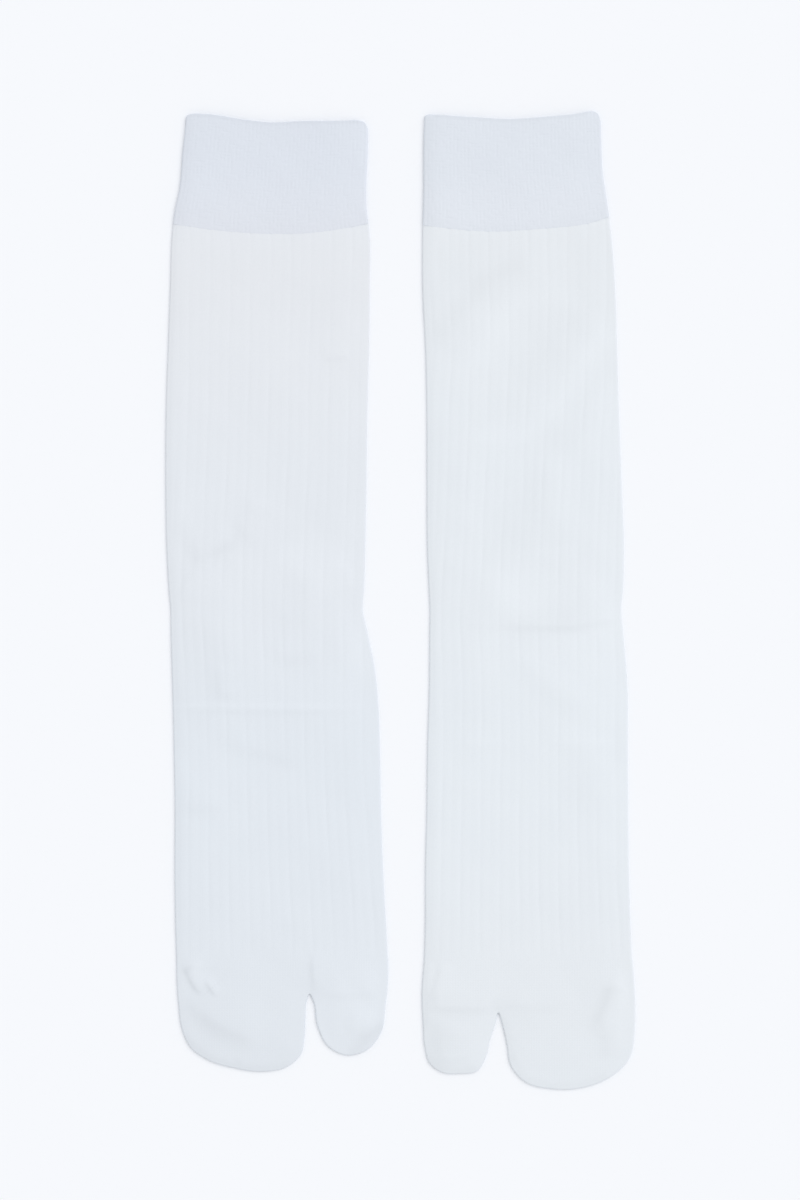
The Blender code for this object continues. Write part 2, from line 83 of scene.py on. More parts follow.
# %% Write down the left sock
LEFT = {
    # down the sock: y, the left side and the right side
    "sides": (
        (213, -93.6, -14), (206, -94.1, -13.7), (197, -95.1, -13.8), (180, -96.6, -14.5),
        (171, -98.5, -14.3), (162, -99.6, -13.2), (136, -100.6, -13), (109, -101.6, -13.3),
        (83, -102.4, -14), (48, -102.6, -14.5), (21, -102.1, -15), (4, -101.2, -15.5),
        (-5, -100.4, -16.1), (-14, -100.3, -14.2), (-32, -99.8, -10.6), (-49, -99.3, -9.1),
        (-67, -98.9, -8.5), (-93, -98.5, -8), (-120, -98.6, -7.1), (-146, -98.2, -5.7),
        (-159, -97.8, -5),
    ),
    # the open edge at the mouth, and the cuff's lower edge: x, y
    "mouth": (
        (-94.2, 211.2), (-93.2, 212.3), (-91, 212.9), (-84, 212.8), (-68, 210.4), (-56, 209.2),
        (-45, 209.7), (-25, 209.9), (-17.2, 210), (-15.6, 209.5), (-14.6, 208.5), (-13.9, 206.9),
    ),
    "cuff_seam": ((-99.4, 164.5), (-84, 162.2), (-58, 160.2), (-40, 160.5), (-22, 163), (-13, 165)),
    # round the toes from the little toe's side to the big toe's: x, y
    "toes": (
        (-97.8, -159), (-97.7, -168), (-96.9, -179), (-95.5, -189.1), (-91.7, -197.4), (-83.1, -203.4),
        (-73, -206.4), (-60.5, -208.1), (-49.4, -206), (-43.2, -200.4), (-41.6, -192.5), (-41.3, -184),
        (-40.7, -177), (-39.4, -173.9), (-37.8, -176.9), (-36, -187.6), (-31.2, -197), (-23, -200.9),
        (-14.2, -198.6), (-8, -190.9), (-6, -179), (-4.9, -168), (-4.8, -159),
    ),
    # the groove nearest the left side, the ribs' pitch and how deep they are: y, x, pitch, strength
    "grooves": (
        (145, -92, 8.9, 0.75), (90, -92.7, 8.8, 0.85), (59, -93.6, 8.87, 1), (21, -95.3, 8.89, 1.1),
        (-10, -95.5, 8.83, 1.25), (-30, -94.3, 8.7, 1.1), (-50, -93.2, 8.55, 1), (-69, -92.5, 8.5, 1),
        (-90, -92.4, 8.6, 1.05), (-110, -92.6, 8.79, 1.1), (-130, -92.6, 8.94, 1.1),
        (-150, -92.6, 9.1, 1.1),
    ),
    # the heel pouch: where it joins the sole, its fold towards the toes, and its widths there
    "heel": {"x": -57.5, "base": -6, "tip": -44, "base_width": 64, "tip_width": 46},
    # round swells of the upper sheet: x, y, radius, rise
    "swells": (
        (-44, 12, 11, 0.8), (-80, -14, 9, 0.5), (-26, -20, 7, 0.25), (-66, -170, 10, 0.3),
        (-24, -186, 8, 0.3), (-10, -190, 6, 0.6),
    ),
    # folds of the upper sheet: the path, half widths on its left and on its right, rise
    "folds": (
        (((-62, 46), (-65, 35), (-72, 27)), 9, 4, 0.4),
        (((-93, 16.5), (-82, 21.8), (-70, 28.5)), 9, 2.6, 0.8),
        (((-97, -4), (-92, 8), (-85.5, 16), (-79, 19)), 2.5, 8, 0.4),
        (((-30, 18), (-23, 11), (-21, 0)), 3, 7, 0.35),
        (((-58, -24), (-48, -25), (-40, -24.5), (-32, -20)), 8, 3.4, 0.45),
        (((-77.5, -28), (-77, -36), (-76.5, -46)), 7, 3.5, 0.45),
        (((-102, -47.8), (-80, -48.2), (-60, -48.5), (-12, -48.8)), 1.9, 2.1, 0.36),
        (((-80, -61), (-66, -65), (-54, -68), (-38, -74)), 9, 3.4, 0.42),
        (((-108, -89.8), (-90, -90.4), (-74, -89.6)), 11, 3.6, 0.5),
        (((-34, 105.2), (-28, 106.2), (-21, 107)), 3, 1.4, 0.27),
        (((-37.2, -180), (-36.9, -168), (-37.6, -152)), 1.5, 6, 0.45),
        (((-95.6, -158), (-91.4, -167), (-86, -175)), 6, 1.7, 0.85),
        (((-85, -167), (-82.4, -171), (-79.8, -175)), 2.5, 1.2, 0.5),
        (((-94, -170), (-89.5, -177.5), (-81.5, -184), (-72.5, -189.3), (-57, -194.6)), 14, 5.5, 1),
        (((-35, -172.5), (-23, -173), (-7, -171.5)), 8, 3, 0.5),
        (((-25, -187.5), (-14, -188.5), (-2, -187.5)), 8, 5, 0.7),
    ),
    # stretches of the leg where a narrow crease crosses it, from y to y, and a shift of its slow waves
    "fine_rows": ((-54, -43), (101, 110)),
    "drape": 0.0,
}
print("left sock:", len(LEFT["sides"]), "widths,", len(LEFT["folds"]), "folds")

# %% Write down the right sock
RIGHT = {
    "sides": (
        (214, 11.3, 88.5), (206, 11, 88.7), (197, 10.8, 89), (187, 10.8, 89.5), (180, 10.8, 90.6),
        (162, 10.4, 93), (136, 10.4, 94.9), (109, 11.7, 95.8), (83, 12.2, 96.6), (48, 12.3, 97.9),
        (21, 12.5, 98.8), (4, 13.2, 98.4), (-5, 13.6, 97.6), (-14, 13.5, 98.4), (-40, 13.3, 100.4),
        (-67, 12.5, 100.5), (-93, 12.2, 100.7), (-120, 11.6, 101), (-146, 11.5, 101.8),
        (-159, 11.1, 102.3),
    ),
    "mouth": (
        (10.6, 211.8), (12, 212.5), (16, 212.6), (25, 212), (33, 211.5), (48.5, 210.7), (62, 211.5),
        (70, 212.2), (77, 212.9), (80.5, 213.5), (83.6, 214.1), (85.4, 214.1), (86.8, 213.5),
        (87.8, 212.3), (88.4, 210.4),
    ),
    "cuff_seam": (
        (10.7, 164), (22, 162.5), (44, 161.2), (57, 162), (70, 163), (81, 164.3), (93.3, 168),
    ),
    "toes": (
        (102.6, -159), (103.4, -169), (103.8, -179), (103.6, -190), (101.4, -202.1), (92.8, -210.5),
        (80, -215.3), (67, -215.7), (55.4, -212.6), (49.2, -205.6), (47.4, -196), (45.6, -188.1),
        (43.6, -182.1), (42.1, -187.6), (40, -194.1), (38, -202.1), (34.1, -208), (27, -209),
        (19.4, -208.6), (13.6, -204.6), (11.3, -197), (10.6, -187), (10.1, -174), (11.1, -159),
    ),
    "grooves": (
        (145, 21.8, 8.66, 1.1), (130, 22.4, 8.58, 1.1), (112, 23.1, 8.37, 1.15), (90, 22, 8.48, 1.15),
        (70, 21.7, 8.36, 1.15), (50, 20.9, 8.39, 1.15), (30, 20.1, 8.37, 1.2), (10, 19.1, 8.44, 1.2),
        (-10, 18.2, 8.52, 1.1), (-30, 18.9, 8.48, 1), (-50, 19.3, 8.41, 1.05), (-84, 18.9, 8.48, 1.1),
        (-120, 18.3, 8.6, 1.15), (-150, 17.7, 8.82, 1.2),
    ),
    "heel": {"x": 56.5, "base": -17, "tip": -59, "base_width": 66, "tip_width": 47},
    "swells": (
        (44, -2, 10, 0.95), (82, 2, 9, 0.8), (88, -108, 6, 0.3), (27, -192, 10, 0.6),
        (97, -196, 6, 0.35),
    ),
    "folds": (
        (((20, 106), (26, 118), (33, 128), (42, 137), (58, 145), (80, 151)), 8, 12, 1),
        (((22, 52), (44, 73), (62, 86), (72, 99), (80, 112), (89, 124)), 15, 9, 1.1),
        (((80, 112), (87, 132), (91, 158)), 10, 6, 0.5),
        (((54, 38), (70, 62), (79, 76), (88, 87), (98, 100)), 9, 11, 0.7),
        (((68, 18), (70, 36), (66, 64)), 11, 9, 0.7),
        (((29, 18), (30, 46), (29, 72)), 11, 7, 0.6),
        (((41, -11.2), (58, -11), (77, -11.4), (87, -9.2), (106, -5)), 11, 2.8, 0.85),
        (((48, -18), (59, -31), (72, -42), (94, -47)), 12, 7, 0.65),
        (((24, -63.4), (38, -63.6), (52, -63.6)), 1.5, 3, 0.12),
        (((64, -63.6), (80, -63.6), (99, -63.4)), 1.5, 3, 0.12),
        (((84, -56), (85, -75), (84, -94)), 8, 8, 0.25),
        (((19.8, -158), (18.9, -163.5), (16.6, -170), (12, -177)), 4, 1.6, 0.42),
        (((4, -178), (28, -178.6), (50, -179.2)), 9, 3, 0.65),
        (((44, -179), (60, -177.6), (80, -176.6)), 8, 4, 0.3),
        (((23.5, -184), (21.5, -195), (24, -208)), 8, 7, 0.5),
        (((99, -162), (95.5, -170), (92.8, -178), (88.8, -186), (85, -193)), 9, 3.8, 0.9),
    ),
    "fine_rows": ((-19, -6), (-67, -60)),
    "drape": 2.3,
}
SOCKS = {"left": LEFT, "right": RIGHT}
print("right sock:", len(RIGHT["sides"]), "widths,", len(RIGHT["folds"]), "folds")

# %% [markdown]
# ## Reading the tables
# A plain interpolation would leave corners where two rows of a table meet, and corners show at once in
# cloth. A cubic curve through the rows has none. The soft step from 0 to 1 does all the fading.

# %% Read smooth curves from the tables
def smooth(points, at):
    """The curve through points, rows of (place, value) with the place rising, read at the places at."""
    place, value = np.array(points, float).T
    slope = np.gradient(value, place)
    i = np.clip(np.searchsorted(place, at) - 1, 0, len(place) - 2)
    span = place[i + 1] - place[i]
    t = np.clip((at - place[i]) / span, 0, 1)
    start = (1 + 2 * t) * (1 - t) ** 2 * value[i] + t * (1 - t) ** 2 * span * slope[i]
    end = t * t * (3 - 2 * t) * value[i + 1] + t * t * (t - 1) * span * slope[i + 1]
    return start + end


def ease(t):
    """A soft step from 0 to 1."""
    t = np.clip(t, 0, 1)
    return t * t * (3 - 2 * t)


def column(table, index, y):
    """One column of a table whose rows start with y, read at y."""
    return smooth(sorted((row[0], row[index]) for row in table), y)


def along(points, x):
    """The y at x of an edge that crosses the sock, given as (x, y) points."""
    return smooth(sorted(points), x)


def sides(sock, y):
    """The left and the right side at y."""
    return [column(sock["sides"], i, y) for i in (1, 2)]


CALF, ANKLE, TOES = 150.0, 0.0, -150.0  # y of three places to measure at
for name, sock in SOCKS.items():
    left, right = sides(sock, (CALF, ANKLE, TOES))
    print(name, "sock's width at the calf, the ankle and the toes:", np.round(right - left, 1))

# %% [markdown]
# ## Over the heel pouch
# A sock that lies flat is two sheets of cloth joined by a soft fold down each side. Both pass over the
# heel pouch, which lies under the sole. The lower sheet drops to the table close beside the pouch, as
# the weight above presses it down. The upper one is free to bridge, and comes down slowly. The sheets
# could be draped over the pouch by a simulation, but a soft ramp with its own width for each sheet gives
# the same step and stays where it is put.

# %% Lift a sheet over the heel pouch
FOLD_RADIUS = 0.75  # outside of the fold down each side
LIFT = 1.25
LIFT_CLEAR = 2.0  # a sheet starts to come down this far past the pouch's ends
LOWER_RAMPS = (6.0, 11.0)  # the lower sheet comes down past the ends and beside the pouch over these,
UPPER_RAMPS = (30.0, 26.0)  # and the upper one over these


def lift(sock, x, y, ramps):
    """How far the heel pouch raises a sheet at x, y."""
    heel = sock["heel"]
    left, right = sides(sock, y)
    beside = np.minimum(x - left, right - x) - FOLD_RADIUS
    past_end, beside_it = ramps
    above = ease((heel["base"] + LIFT_CLEAR + past_end - y) / past_end)
    below = ease((y - heel["tip"] + LIFT_CLEAR + past_end) / past_end)
    return LIFT * ease(beside / beside_it) * above * below


for name, sock in SOCKS.items():
    middle = lift(sock, sock["heel"]["x"], ANKLE, UPPER_RAMPS)
    print(f"{name} sock's upper sheet is {middle:.2f} mm higher at the ankle")

# %% [markdown]
# ## The paths of the folds
# The upper sheet carries the folds and creases that the socks took when they were laid down. They could
# be left to a cloth simulation, but that can't promise where a crease goes, and it would bend the
# straight ribs. So each crease is given along a short path of straight pieces. The first thing
# to know is how far a point lies from such a path, how far along it, and on which side.

# %% Measure how a point lies to a path
def trace(path, x, y):
    """How far x, y is from a path, how far along it that is (0 to 1), and if x, y is on its left."""
    path = np.array(path, float)
    sizes = np.hypot(*np.diff(path, axis=0).T)
    x, y = np.broadcast_arrays(x, y)
    nearest, place = np.full(x.shape, np.inf), np.zeros(x.shape)
    left, done = np.zeros(x.shape, bool), 0.0
    for (x0, y0), (x1, y1), size in zip(path[:-1], path[1:], sizes):
        dx, dy = (x1 - x0) / size, (y1 - y0) / size
        t = np.clip((x - x0) * dx + (y - y0) * dy, 0, size)
        away = np.hypot(x - x0 - t * dx, y - y0 - t * dy)
        place = np.where(away < nearest, (done + t) / sizes.sum(), place)
        left = np.where(away < nearest, (y - y0) * dx > (x - x0) * dy, left)
        nearest = np.minimum(away, nearest)
        done += size
    return nearest, place, left


# %% [markdown]
# ## The creases
# Across its path a crease has the soft profile of a bell, and it dies away at both ends, as it does in
# cloth that nothing holds. Round swells stand for the slack cloth between the creases. Slow waves, made
# of a few sines, keep the rest from looking ironed. Random bumps would do that too, but sines give the
# same cloth each time.

# %% Fold the upper sheet
DEEPEST = -0.5  # the upper sheet sinks no further, so that it stays off the lower one
TAPER = 0.3  # share of a fold's length over which it dies away at each end
WAVES = (  # wavelengths across and down the sock, height, start
    (61.0, 47.0, 0.07, 0.4),
    (-43.0, 33.0, 0.05, 1.9),
    (29.0, -55.0, 0.04, 3.1),
    (-23.0, -19.0, 0.025, 5.2),
)


def relief(sock, x, y):
    """The swells, the folds and the slow waves of the upper sheet at x, y."""
    total = 0.0
    for x0, y0, radius, rise in sock["swells"]:
        total = total + rise * np.exp(-((x - x0) ** 2 + (y - y0) ** 2) / radius**2)
    for path, left_width, right_width, rise in sock["folds"]:
        away, place, left = trace(path, x, y)
        width = np.where(left, left_width, right_width)
        fade = ease(np.minimum(place, 1 - place) / TAPER)
        total = total + rise * fade * np.exp(-((away / width) ** 2))
    for across, down, height, start in WAVES:
        total = total + height * np.sin(2 * math.pi * (x / across + y / down) + start + sock["drape"])
    sunk = DEEPEST * (1 - np.exp(np.minimum(total, 0) / -DEEPEST))
    return np.where(total < 0, sunk, total)


for name, sock in SOCKS.items():
    left, right = sides(sock, ANKLE)
    found = relief(sock, np.linspace(left, right)[:, None], np.linspace(TOES, CALF)[None])
    print(f"{name} sock's folds run from {found.min():.2f} to {found.max():.2f} mm")

# %% [markdown]
# ## The upper sheet
# Away from the sides the upper sheet lies flat on the lower one. On the right it slopes gently down to
# the side fold, and on the left it stays plump nearly to the edge, where the knit was turned under when
# the sock was smoothed from left to right. Under a lamp on the right the slope is bright and the plump
# side throws the darker line that sets the sock off from a pale table. A half round on both sides would
# be simpler, but then the sock looks like a cushion.

# %% Slope the upper sheet down to its sides
FLAT_HEIGHT = 2.2  # of the upper sheet, in a groove
SIDE_RAMP = 14.0  # on the right, the sheet comes down to the side fold over this width,
ROUND_SIDE = 2.5  # and on the left it has most of its height this far from the fold
SOFTEN = 7.0  # the sheet's folds fade out over this width beside a side fold


def upper(sock, x, y, beside, radius, height):
    """How high the upper sheet is at x, y, a point that is this far beside the nearest side fold."""
    left, right = sides(sock, y)
    plump = 1 - np.exp(-np.maximum(beside, 0) / ROUND_SIDE)
    shape = plump + (ease(beside / SIDE_RAMP) - plump) * ease((x - left) / (right - left))
    plain = 2 * radius + (height - 2 * radius) * shape
    return lift(sock, x, y, UPPER_RAMPS) + plain + relief(sock, x, y) * ease(beside / SOFTEN)


for name, sock in SOCKS.items():
    middle = sock["heel"]["x"]
    height = upper(sock, middle, ANKLE, SIDE_RAMP, FOLD_RADIUS, FLAT_HEIGHT)
    print(f"{name} sock is {height:.1f} mm high in the middle of its ankle")

# %% [markdown]
# ## Slow tones and painted light and shade
# Bleached cotton is never quite one white, but which changes here belong to the cloth and which to the
# light can't be told from their colour. So the slow changes down each sock, lighter or darker and cooler
# or warmer, are amounts matched to the look of a real pair, with no cause worked out. The short strokes
# are painted light and shade, as soft as the folds beside them: painted shade in creases and in folds
# too small for this mesh, along each mouth's edge, down the left of each cuff and under the toes, and
# painted light on strips that turn to the lamp. The left sock is a shade darker and cooler than the
# right. The amounts are small, in steps of a screen's 255, and can be left out.

# %% Write down the painted light and shade and the slow tones of the left sock
# painted light and shade of creases, folds and edges: the path, half width, change in screen steps
LEFT["tones"] = (
    (
        (
            (-93, 212), (-91, 212.4), (-84, 212.3), (-68, 209.9), (-56, 208.7), (-45, 209.2),
            (-25, 209.4), (-18, 209.5),
        ),
        0.9, -4,
    ),
    (((-93.5, 208), (-95.5, 190), (-98, 168)), 4.2, -2.4),
    (((-14.6, 205), (-14.4, 172)), 3.5, 2.4),
    (((-99, -46.9), (-88, -47)), 1.2, 1.2),
    (((-80, 20), (-76, 22.5), (-72, 26)), 3.2, -1.8),
    (((-70, 29), (-67, 36), (-66, 43)), 3, -0.5),
    (((-44, 20), (-30, 12)), 8, 0.7),
    (((-42, 7), (-42, -10)), 2, -1.1),
    (((-51, -8), (-51, -18)), 2.2, -0.8),
    (((-31, -2), (-29, -20)), 3, -0.8),
    (((-47, -27), (-39, -27.5)), 3, -0.4),
    (((-83, -31), (-82, -37), (-80, -43)), 3, -1),
    (((-98, -94), (-90, -94), (-80, -93)), 4, -0.5),
    (((-94, 92), (-94, 36)), 3, 0.8),
    (((-41, 74), (-41, 60)), 2, 0.8),
    (((-19, -8), (-16, -30)), 4, 0.9),
    (((-95, -70), (-95, -86)), 3, 0.8),
    (((-97, -18), (-97, -42)), 5, -1),
    (((-62, -67), (-52, -71)), 3, -0.6),
    (((-72, 152), (-72, 140)), 2, -0.9),
    (((-90, -181), (-82, -189), (-68, -195)), 6, -1.4),
    (((-80, -178), (-56, -192)), 26, -2.2),
    (((-93.8, -164), (-90.5, -169.5), (-87.8, -172.8)), 1.5, -3),
    (((-94, -164), (-91.6, -161.8)), 1.2, -2.5),
    (((-84.8, -170), (-82.2, -173.2)), 1.3, -1.6),
    (((-95, -174), (-92, -182)), 4, 1),
    (((-85.5, -184.5), (-78, -189.5), (-69, -192.8)), 2.6, -1.6),
    (((-71.4, -202.6), (-70.2, -204)), 1.2, -2.5),
    (((-84, -200), (-66, -205), (-50, -202)), 6, -1),
    (((-70, -172), (-66, -178)), 8, 0.6),
    (((-8, -189), (-13.5, -193.5), (-19.5, -199)), 3.4, -5.5),
    (((-24, -178), (-24, -190)), 9, 1.3),
    (((-19, -170), (-14, -174)), 3, -0.8),
    (((-37, -180), (-33, -194)), 2.5, 1.4),
    (((-38.4, -174), (-38.6, -168), (-39.4, -161)), 1.2, -1.8),
    (((-93, -194), (-84, -201.5), (-73, -205.2), (-60, -206.8), (-50, -205)), 1.8, -2.5),
    (((-96, -162.5), (-80, -163)), 1.2, -0.8),
)
# down the sock: y, and how much lighter and how much cooler than its knit, in screen steps
LEFT["white"] = (
    (213, -1.8, 0.5), (190, -1.6, 0.5), (172, -0.9, -0.2), (158, -2.1, -0.8), (110, -2.1, -0.7),
    (60, -2.4, 0.1), (0, -2.4, 0.4), (-50, -2.7, 1.4), (-150, -3.4, 1.3), (-208, -3, 1),
)
LEFT["cast"] = (0, -0.45, 0.35)  # of the whole sock, in red, green and blue
print("left sock:", len(LEFT["tones"]), "strokes")

# %% Write down the painted light and shade and the slow tones of the right sock
# painted light and shade of creases, folds and edges, as on the left sock
RIGHT["tones"] = (
    (
        (
            (16, 212.1), (25, 211.5), (33, 211), (48.5, 210.2), (62, 211), (77, 212.4), (82, 213.3),
        ),
        0.9, -4,
    ),
    (((12.6, 208), (12.4, 190), (12.4, 168)), 4.2, -3),
    (((30, 167), (70, 168)), 5, 1),
    (((30, 158), (84, 161)), 9, -0.7),
    (((18, 117), (24, 125), (31, 131), (38, 139.5), (52, 147)), 4.5, -1.9),
    (((20, 154), (20, 144)), 7, 0.5),
    (((31, 103), (39, 112), (47, 124), (54, 132), (72, 134)), 6, 1.4),
    (((41, 80), (41, 100)), 2.5, -0.8),
    (((50, 88), (56, 100), (64, 110)), 9, -1.3),
    (((74, 116), (88, 130), (96, 150)), 7, -0.8),
    (((95.5, 150), (96, 125), (96.5, 96)), 3.5, -1.2),
    (((44, 126), (52, 132)), 5, 0.9),
    (((38, 71), (55, 72), (66, 80), (74, 92), (81, 105), (90, 115)), 5, 1.4),
    (((76, 70), (83, 88), (92, 100)), 4, -0.6),
    (((52, 26), (58, 38), (62, 52)), 8, -0.9),
    (((32, 38), (32, 58)), 4, 1),
    (((44, 22), (47, 40)), 3, -0.6),
    (((62, 21), (76, 21)), 3, 1),
    (((21, 12), (20, -6)), 4, -0.6),
    (((70, -1), (74, -8)), 4, -0.9),
    (((62, -8), (82, -8)), 5, -1.2),
    (((68, -13), (81, -12)), 2.2, -1),
    (((32, -12.4), (52, -13)), 1.6, -0.8),
    (((20, -22), (20, -92)), 4, 0.6),
    (((36, -17), (44, -18)), 3.5, 0.6),
    (((94, -16), (95, -46)), 4, 0.7),
    (((80, 3), (80, -4)), 2.4, -0.7),
    (((46, -38), (60, -50), (84, -54)), 8, -0.5),
    (((97, -58), (97, -70)), 3, -1.2),
    (((76, -66), (80, -85)), 4, -0.4),
    (((66, -98), (70, -108)), 5, -0.6),
    (((95, -78), (96, -112)), 3, 0.5),
    (((92, -173.5), (88, -184.5)), 2.8, -3),
    (((91, -172.2), (97, -171.8)), 1.5, -1.4),
    (((90.2, -194), (90, -200)), 2.8, -2),
    (((13, -180.5), (28, -181.5), (42, -182)), 1.7, -0.8),
    (((48, -179), (66, -181)), 1.8, -0.8),
    (((14, -188), (16, -204)), 4.2, -2.2),
    (((14.2, -161), (13.2, -172)), 1.5, 2),
    (((22, -206), (32, -206)), 3.5, -0.9),
    (((13, -202), (19, -207), (27, -208), (33, -206.5)), 1.8, -2),
    (((50, -202), (55, -210.5), (67, -214.4), (80, -214), (90, -210.5)), 1.8, -2.5),
    (((45.5, -186), (48, -194), (50, -202)), 2, -2),
    (((12, -165), (11.5, -186)), 1.6, -1.5),
    (((20, -183), (24, -200)), 12, -1.5),
    (((66, -190), (86, -194)), 22, -1.2),
)
RIGHT["white"] = (
    (213, 0.3, 0.1), (190, 0.4, 0.1), (172, 1.4, -0.4), (158, -0.7, -0.4), (110, 0.1, -0.1),
    (70, 0.1, 0.3), (0, 0.1, 0.3), (-50, 0.3, 0.7), (-120, -0.3, 0.5), (-170, -1.1, 0),
    (-215, -0.3, 0.4),
)
RIGHT["cast"] = (0, 0, 0)
print("right sock:", len(RIGHT["tones"]), "strokes")

# %% [markdown]
# ## From steps to factors
# The slow tones and the painted light and shade lie on the mesh as one factor a point, which the
# material multiplies with the yarn's colour.
# Steps are counted as a screen shows them, since the eye judges them there, but a colour is multiplied
# in linear light. So a power close to a screen's own curve turns the one into the other. A list of ready
# factors would do without it, but nobody could read it.

# %% Turn the slow tones and the painted light and shade into factors on a colour
WHITE = 232.0  # the cloth's screen level, from which steps are counted
COOLER = np.array((-1.0, 0.15, 0.85))  # a step cooler in red, green and blue
SCREEN_CURVE = 2.2


def tone_and_painted_shade(sock, x, y):
    """The factors on red, green and blue that change a knit's white at x, y: slow tones and painted
    light and shade.
    """
    lighter, cooler = (column(sock["white"], i, y) for i in (1, 2))
    # the strokes add painted light and shade to the slow tones
    for path, half_width, change in sock["tones"]:
        lighter = lighter + change * np.exp(-((trace(path, x, y)[0] / half_width) ** 2))
    steps = lighter[:, None] + cooler[:, None] * COOLER + sock["cast"]
    return np.column_stack([(1 + steps / WHITE) ** SCREEN_CURVE, np.ones(len(x))])


for name, sock in SOCKS.items():
    ankle = tone_and_painted_shade(sock, np.array([sock["heel"]["x"]]), np.array([ANKLE]))[0]
    print(f"{name} sock's factors at the ankle:", np.round(ankle[:3], 3))

# %% [markdown]
# ## Rings round a tube
# Every tube here is a stack of rings. One ring goes round the sock: along the lower sheet, up the right
# fold, back over the upper sheet and down the left fold. A ring can be pushed into the cloth along its
# own normals, which makes the grooves between ribs, and the same ring pushed in by the wall makes the
# inside. A subdivided cage would be quicker to set up, but it can't hold ribs this fine in place.

# %% Go round the sock in rings
FOLD_POINTS = 7  # round a side fold, between the sheets
TINY = 1e-9  # keeps a length that is divided by from being 0


def ring_points(sock, x, line, radius, height):
    """Rings round the tube, as rows of x and z: x holds both sheets' columns, and line(x) gives y."""
    left, right = x[:, :1] - radius, x[:, -1:] + radius
    turns = np.linspace(-0.5, 0.5, FOLD_POINTS + 2)[1:-1] * math.pi
    y = line(x)
    beside = np.minimum(x - left, right - x) - radius
    low = lift(sock, x, y, LOWER_RAMPS)
    high = upper(sock, x, y, beside, radius, height)
    out, up = radius * np.cos(turns), radius * (1 + np.sin(turns))
    xs = np.hstack([x, right - radius + out, x[:, ::-1], left + radius - out[::-1]])
    zs = np.hstack([low, np.tile(up, (len(x), 1)), high[:, ::-1], np.tile(up[::-1], (len(x), 1))])
    return xs, zs


def around(sheet):
    """Values on a ring, from those on a sheet from left to right, and none on the side folds."""
    folds = np.zeros((len(sheet), FOLD_POINTS))
    return np.hstack([sheet, folds, sheet[:, ::-1], folds])


def push_in(xs, zs, depth):
    """The rings moved into the cloth by depth, square to their own line."""
    dx = np.roll(xs, -1, axis=1) - np.roll(xs, 1, axis=1)
    dz = np.roll(zs, -1, axis=1) - np.roll(zs, 1, axis=1)
    size = np.maximum(np.hypot(dx, dz), TINY)
    return xs - dz / size * depth, zs + dx / size * depth


print(f"a side fold: {FOLD_POINTS} points, {2 * FOLD_RADIUS} mm high")

# %% [markdown]
# ## The wall of a tube
# Neighbouring rings are joined by quads. The outer and inner stacks have different numbers of points,
# since the inside is plain, so the two ends of the wall are closed with triangles, the shorter diagonal
# first. Equal numbers would be simpler to join, but the mesh would double for an inside that nobody
# sees.

# %% Join two stacks of rings
def rim(vertices, outer, inner):
    """Triangles between two loops of vertices that start beside each other, shorter diagonal first."""
    def apart(i, j):
        return math.dist(vertices[outer[i % len(outer)]], vertices[inner[j % len(inner)]])

    faces, i, j = [], 0, 0
    while i < len(outer) or j < len(inner):
        third = inner[j % len(inner)]
        if j == len(inner) or (i < len(outer) and apart(i + 1, j) <= apart(i, j + 1)):
            faces.append((outer[i], outer[(i + 1) % len(outer)], third))
            i += 1
        else:
            faces.append((outer[i % len(outer)], inner[(j + 1) % len(inner)], third))
            j += 1
    return faces


def tube(outer, inner):
    """Vertices and faces of a wall between two stacks of rings, arrays of rows, columns and xyz."""
    vertices, faces, ends = [], [], []
    for rings in (outer, inner):
        rows, columns = rings.shape[:2]
        number = len(vertices) + np.arange(rows * columns).reshape(rows, columns)
        beside = np.roll(number, -1, axis=1)
        quads = np.stack([number[:-1], beside[:-1], beside[1:], number[1:]], -1)
        faces += quads.reshape(-1, 4).tolist()
        vertices += rings.reshape(-1, 3).tolist()
        ends.append((number[0].tolist(), number[-1].tolist()))
    for outer_loop, inner_loop in zip(*ends):
        faces += rim(vertices, outer_loop, inner_loop)
    return vertices, faces


corners = np.array([(-1.0, 0.0, 0.0), (1.0, 0.0, 0.0), (1.0, 0.0, 1.0), (-1.0, 0.0, 1.0)])
box = np.stack([corners, corners + (0.0, 1.0, 0.0)])
print("a square tube's wall:", len(tube(box, 0.9 * box)[1]), "faces")

# %% [markdown]
# ## From a wall to a piece of cloth
# A second map of coordinates, in millimetres of cloth, lies on the mesh for the stitches. Blender could
# unwrap the mesh instead, but then the stitches would not run along the ribs. The shading is smooth, but
# for the edges at the end of a wall. Every piece rides on the one fixed body and takes the place of its
# solid.

# %% Turn a wall into a mesh object
SHARP = 55.0  # degrees between two faces that meet in an edge, such as the end of a wall


def add_piece(name, vertices, faces, cloth, material):
    """A mesh object from millimetres. Its map "knit" holds each corner's place on the cloth, in mm."""
    x, y, _ = np.array(vertices).T
    mesh = bpy.data.meshes.new(name)
    mesh.from_pydata((np.array(vertices) * MM).tolist(), [], faces)
    mesh.validate()
    corners = np.empty(len(mesh.loops), int)
    mesh.loops.foreach_get("vertex_index", corners)
    mesh.uv_layers.new(name="knit").data.foreach_set("uv", np.array(cloth)[corners].ravel())
    # slow tones and painted light and shade, as a colour on each point
    vertex_tone_and_shade = tone_and_painted_shade(SOCKS[name.split("_")[0]], x, y)
    mesh.attributes.new("tone_and_painted_shade", "FLOAT_COLOR", "POINT").data.foreach_set("color", vertex_tone_and_shade.ravel())
    mesh.materials.append(material)
    mesh.shade_smooth()
    mesh.set_sharp_from_angle(angle=math.radians(SHARP))
    piece = bpy.data.objects.new(name, mesh)
    bpy.context.scene.collection.objects.link(piece)
    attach(piece, "root")
    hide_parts(name.removesuffix("_cloth"))
    triangles = sum(len(face) - 2 for face in faces)
    print(f"{name}: {len(vertices)} points, {triangles} triangles")
    return piece


print(f"edges are sharp from {SHARP:.0f} degrees")

# %% [markdown]
# ## Colours and nodes
# Colours are written as they look on a screen and turned linear here once. One helper adds every node,
# fills its inputs and gives back the output that the next node needs.

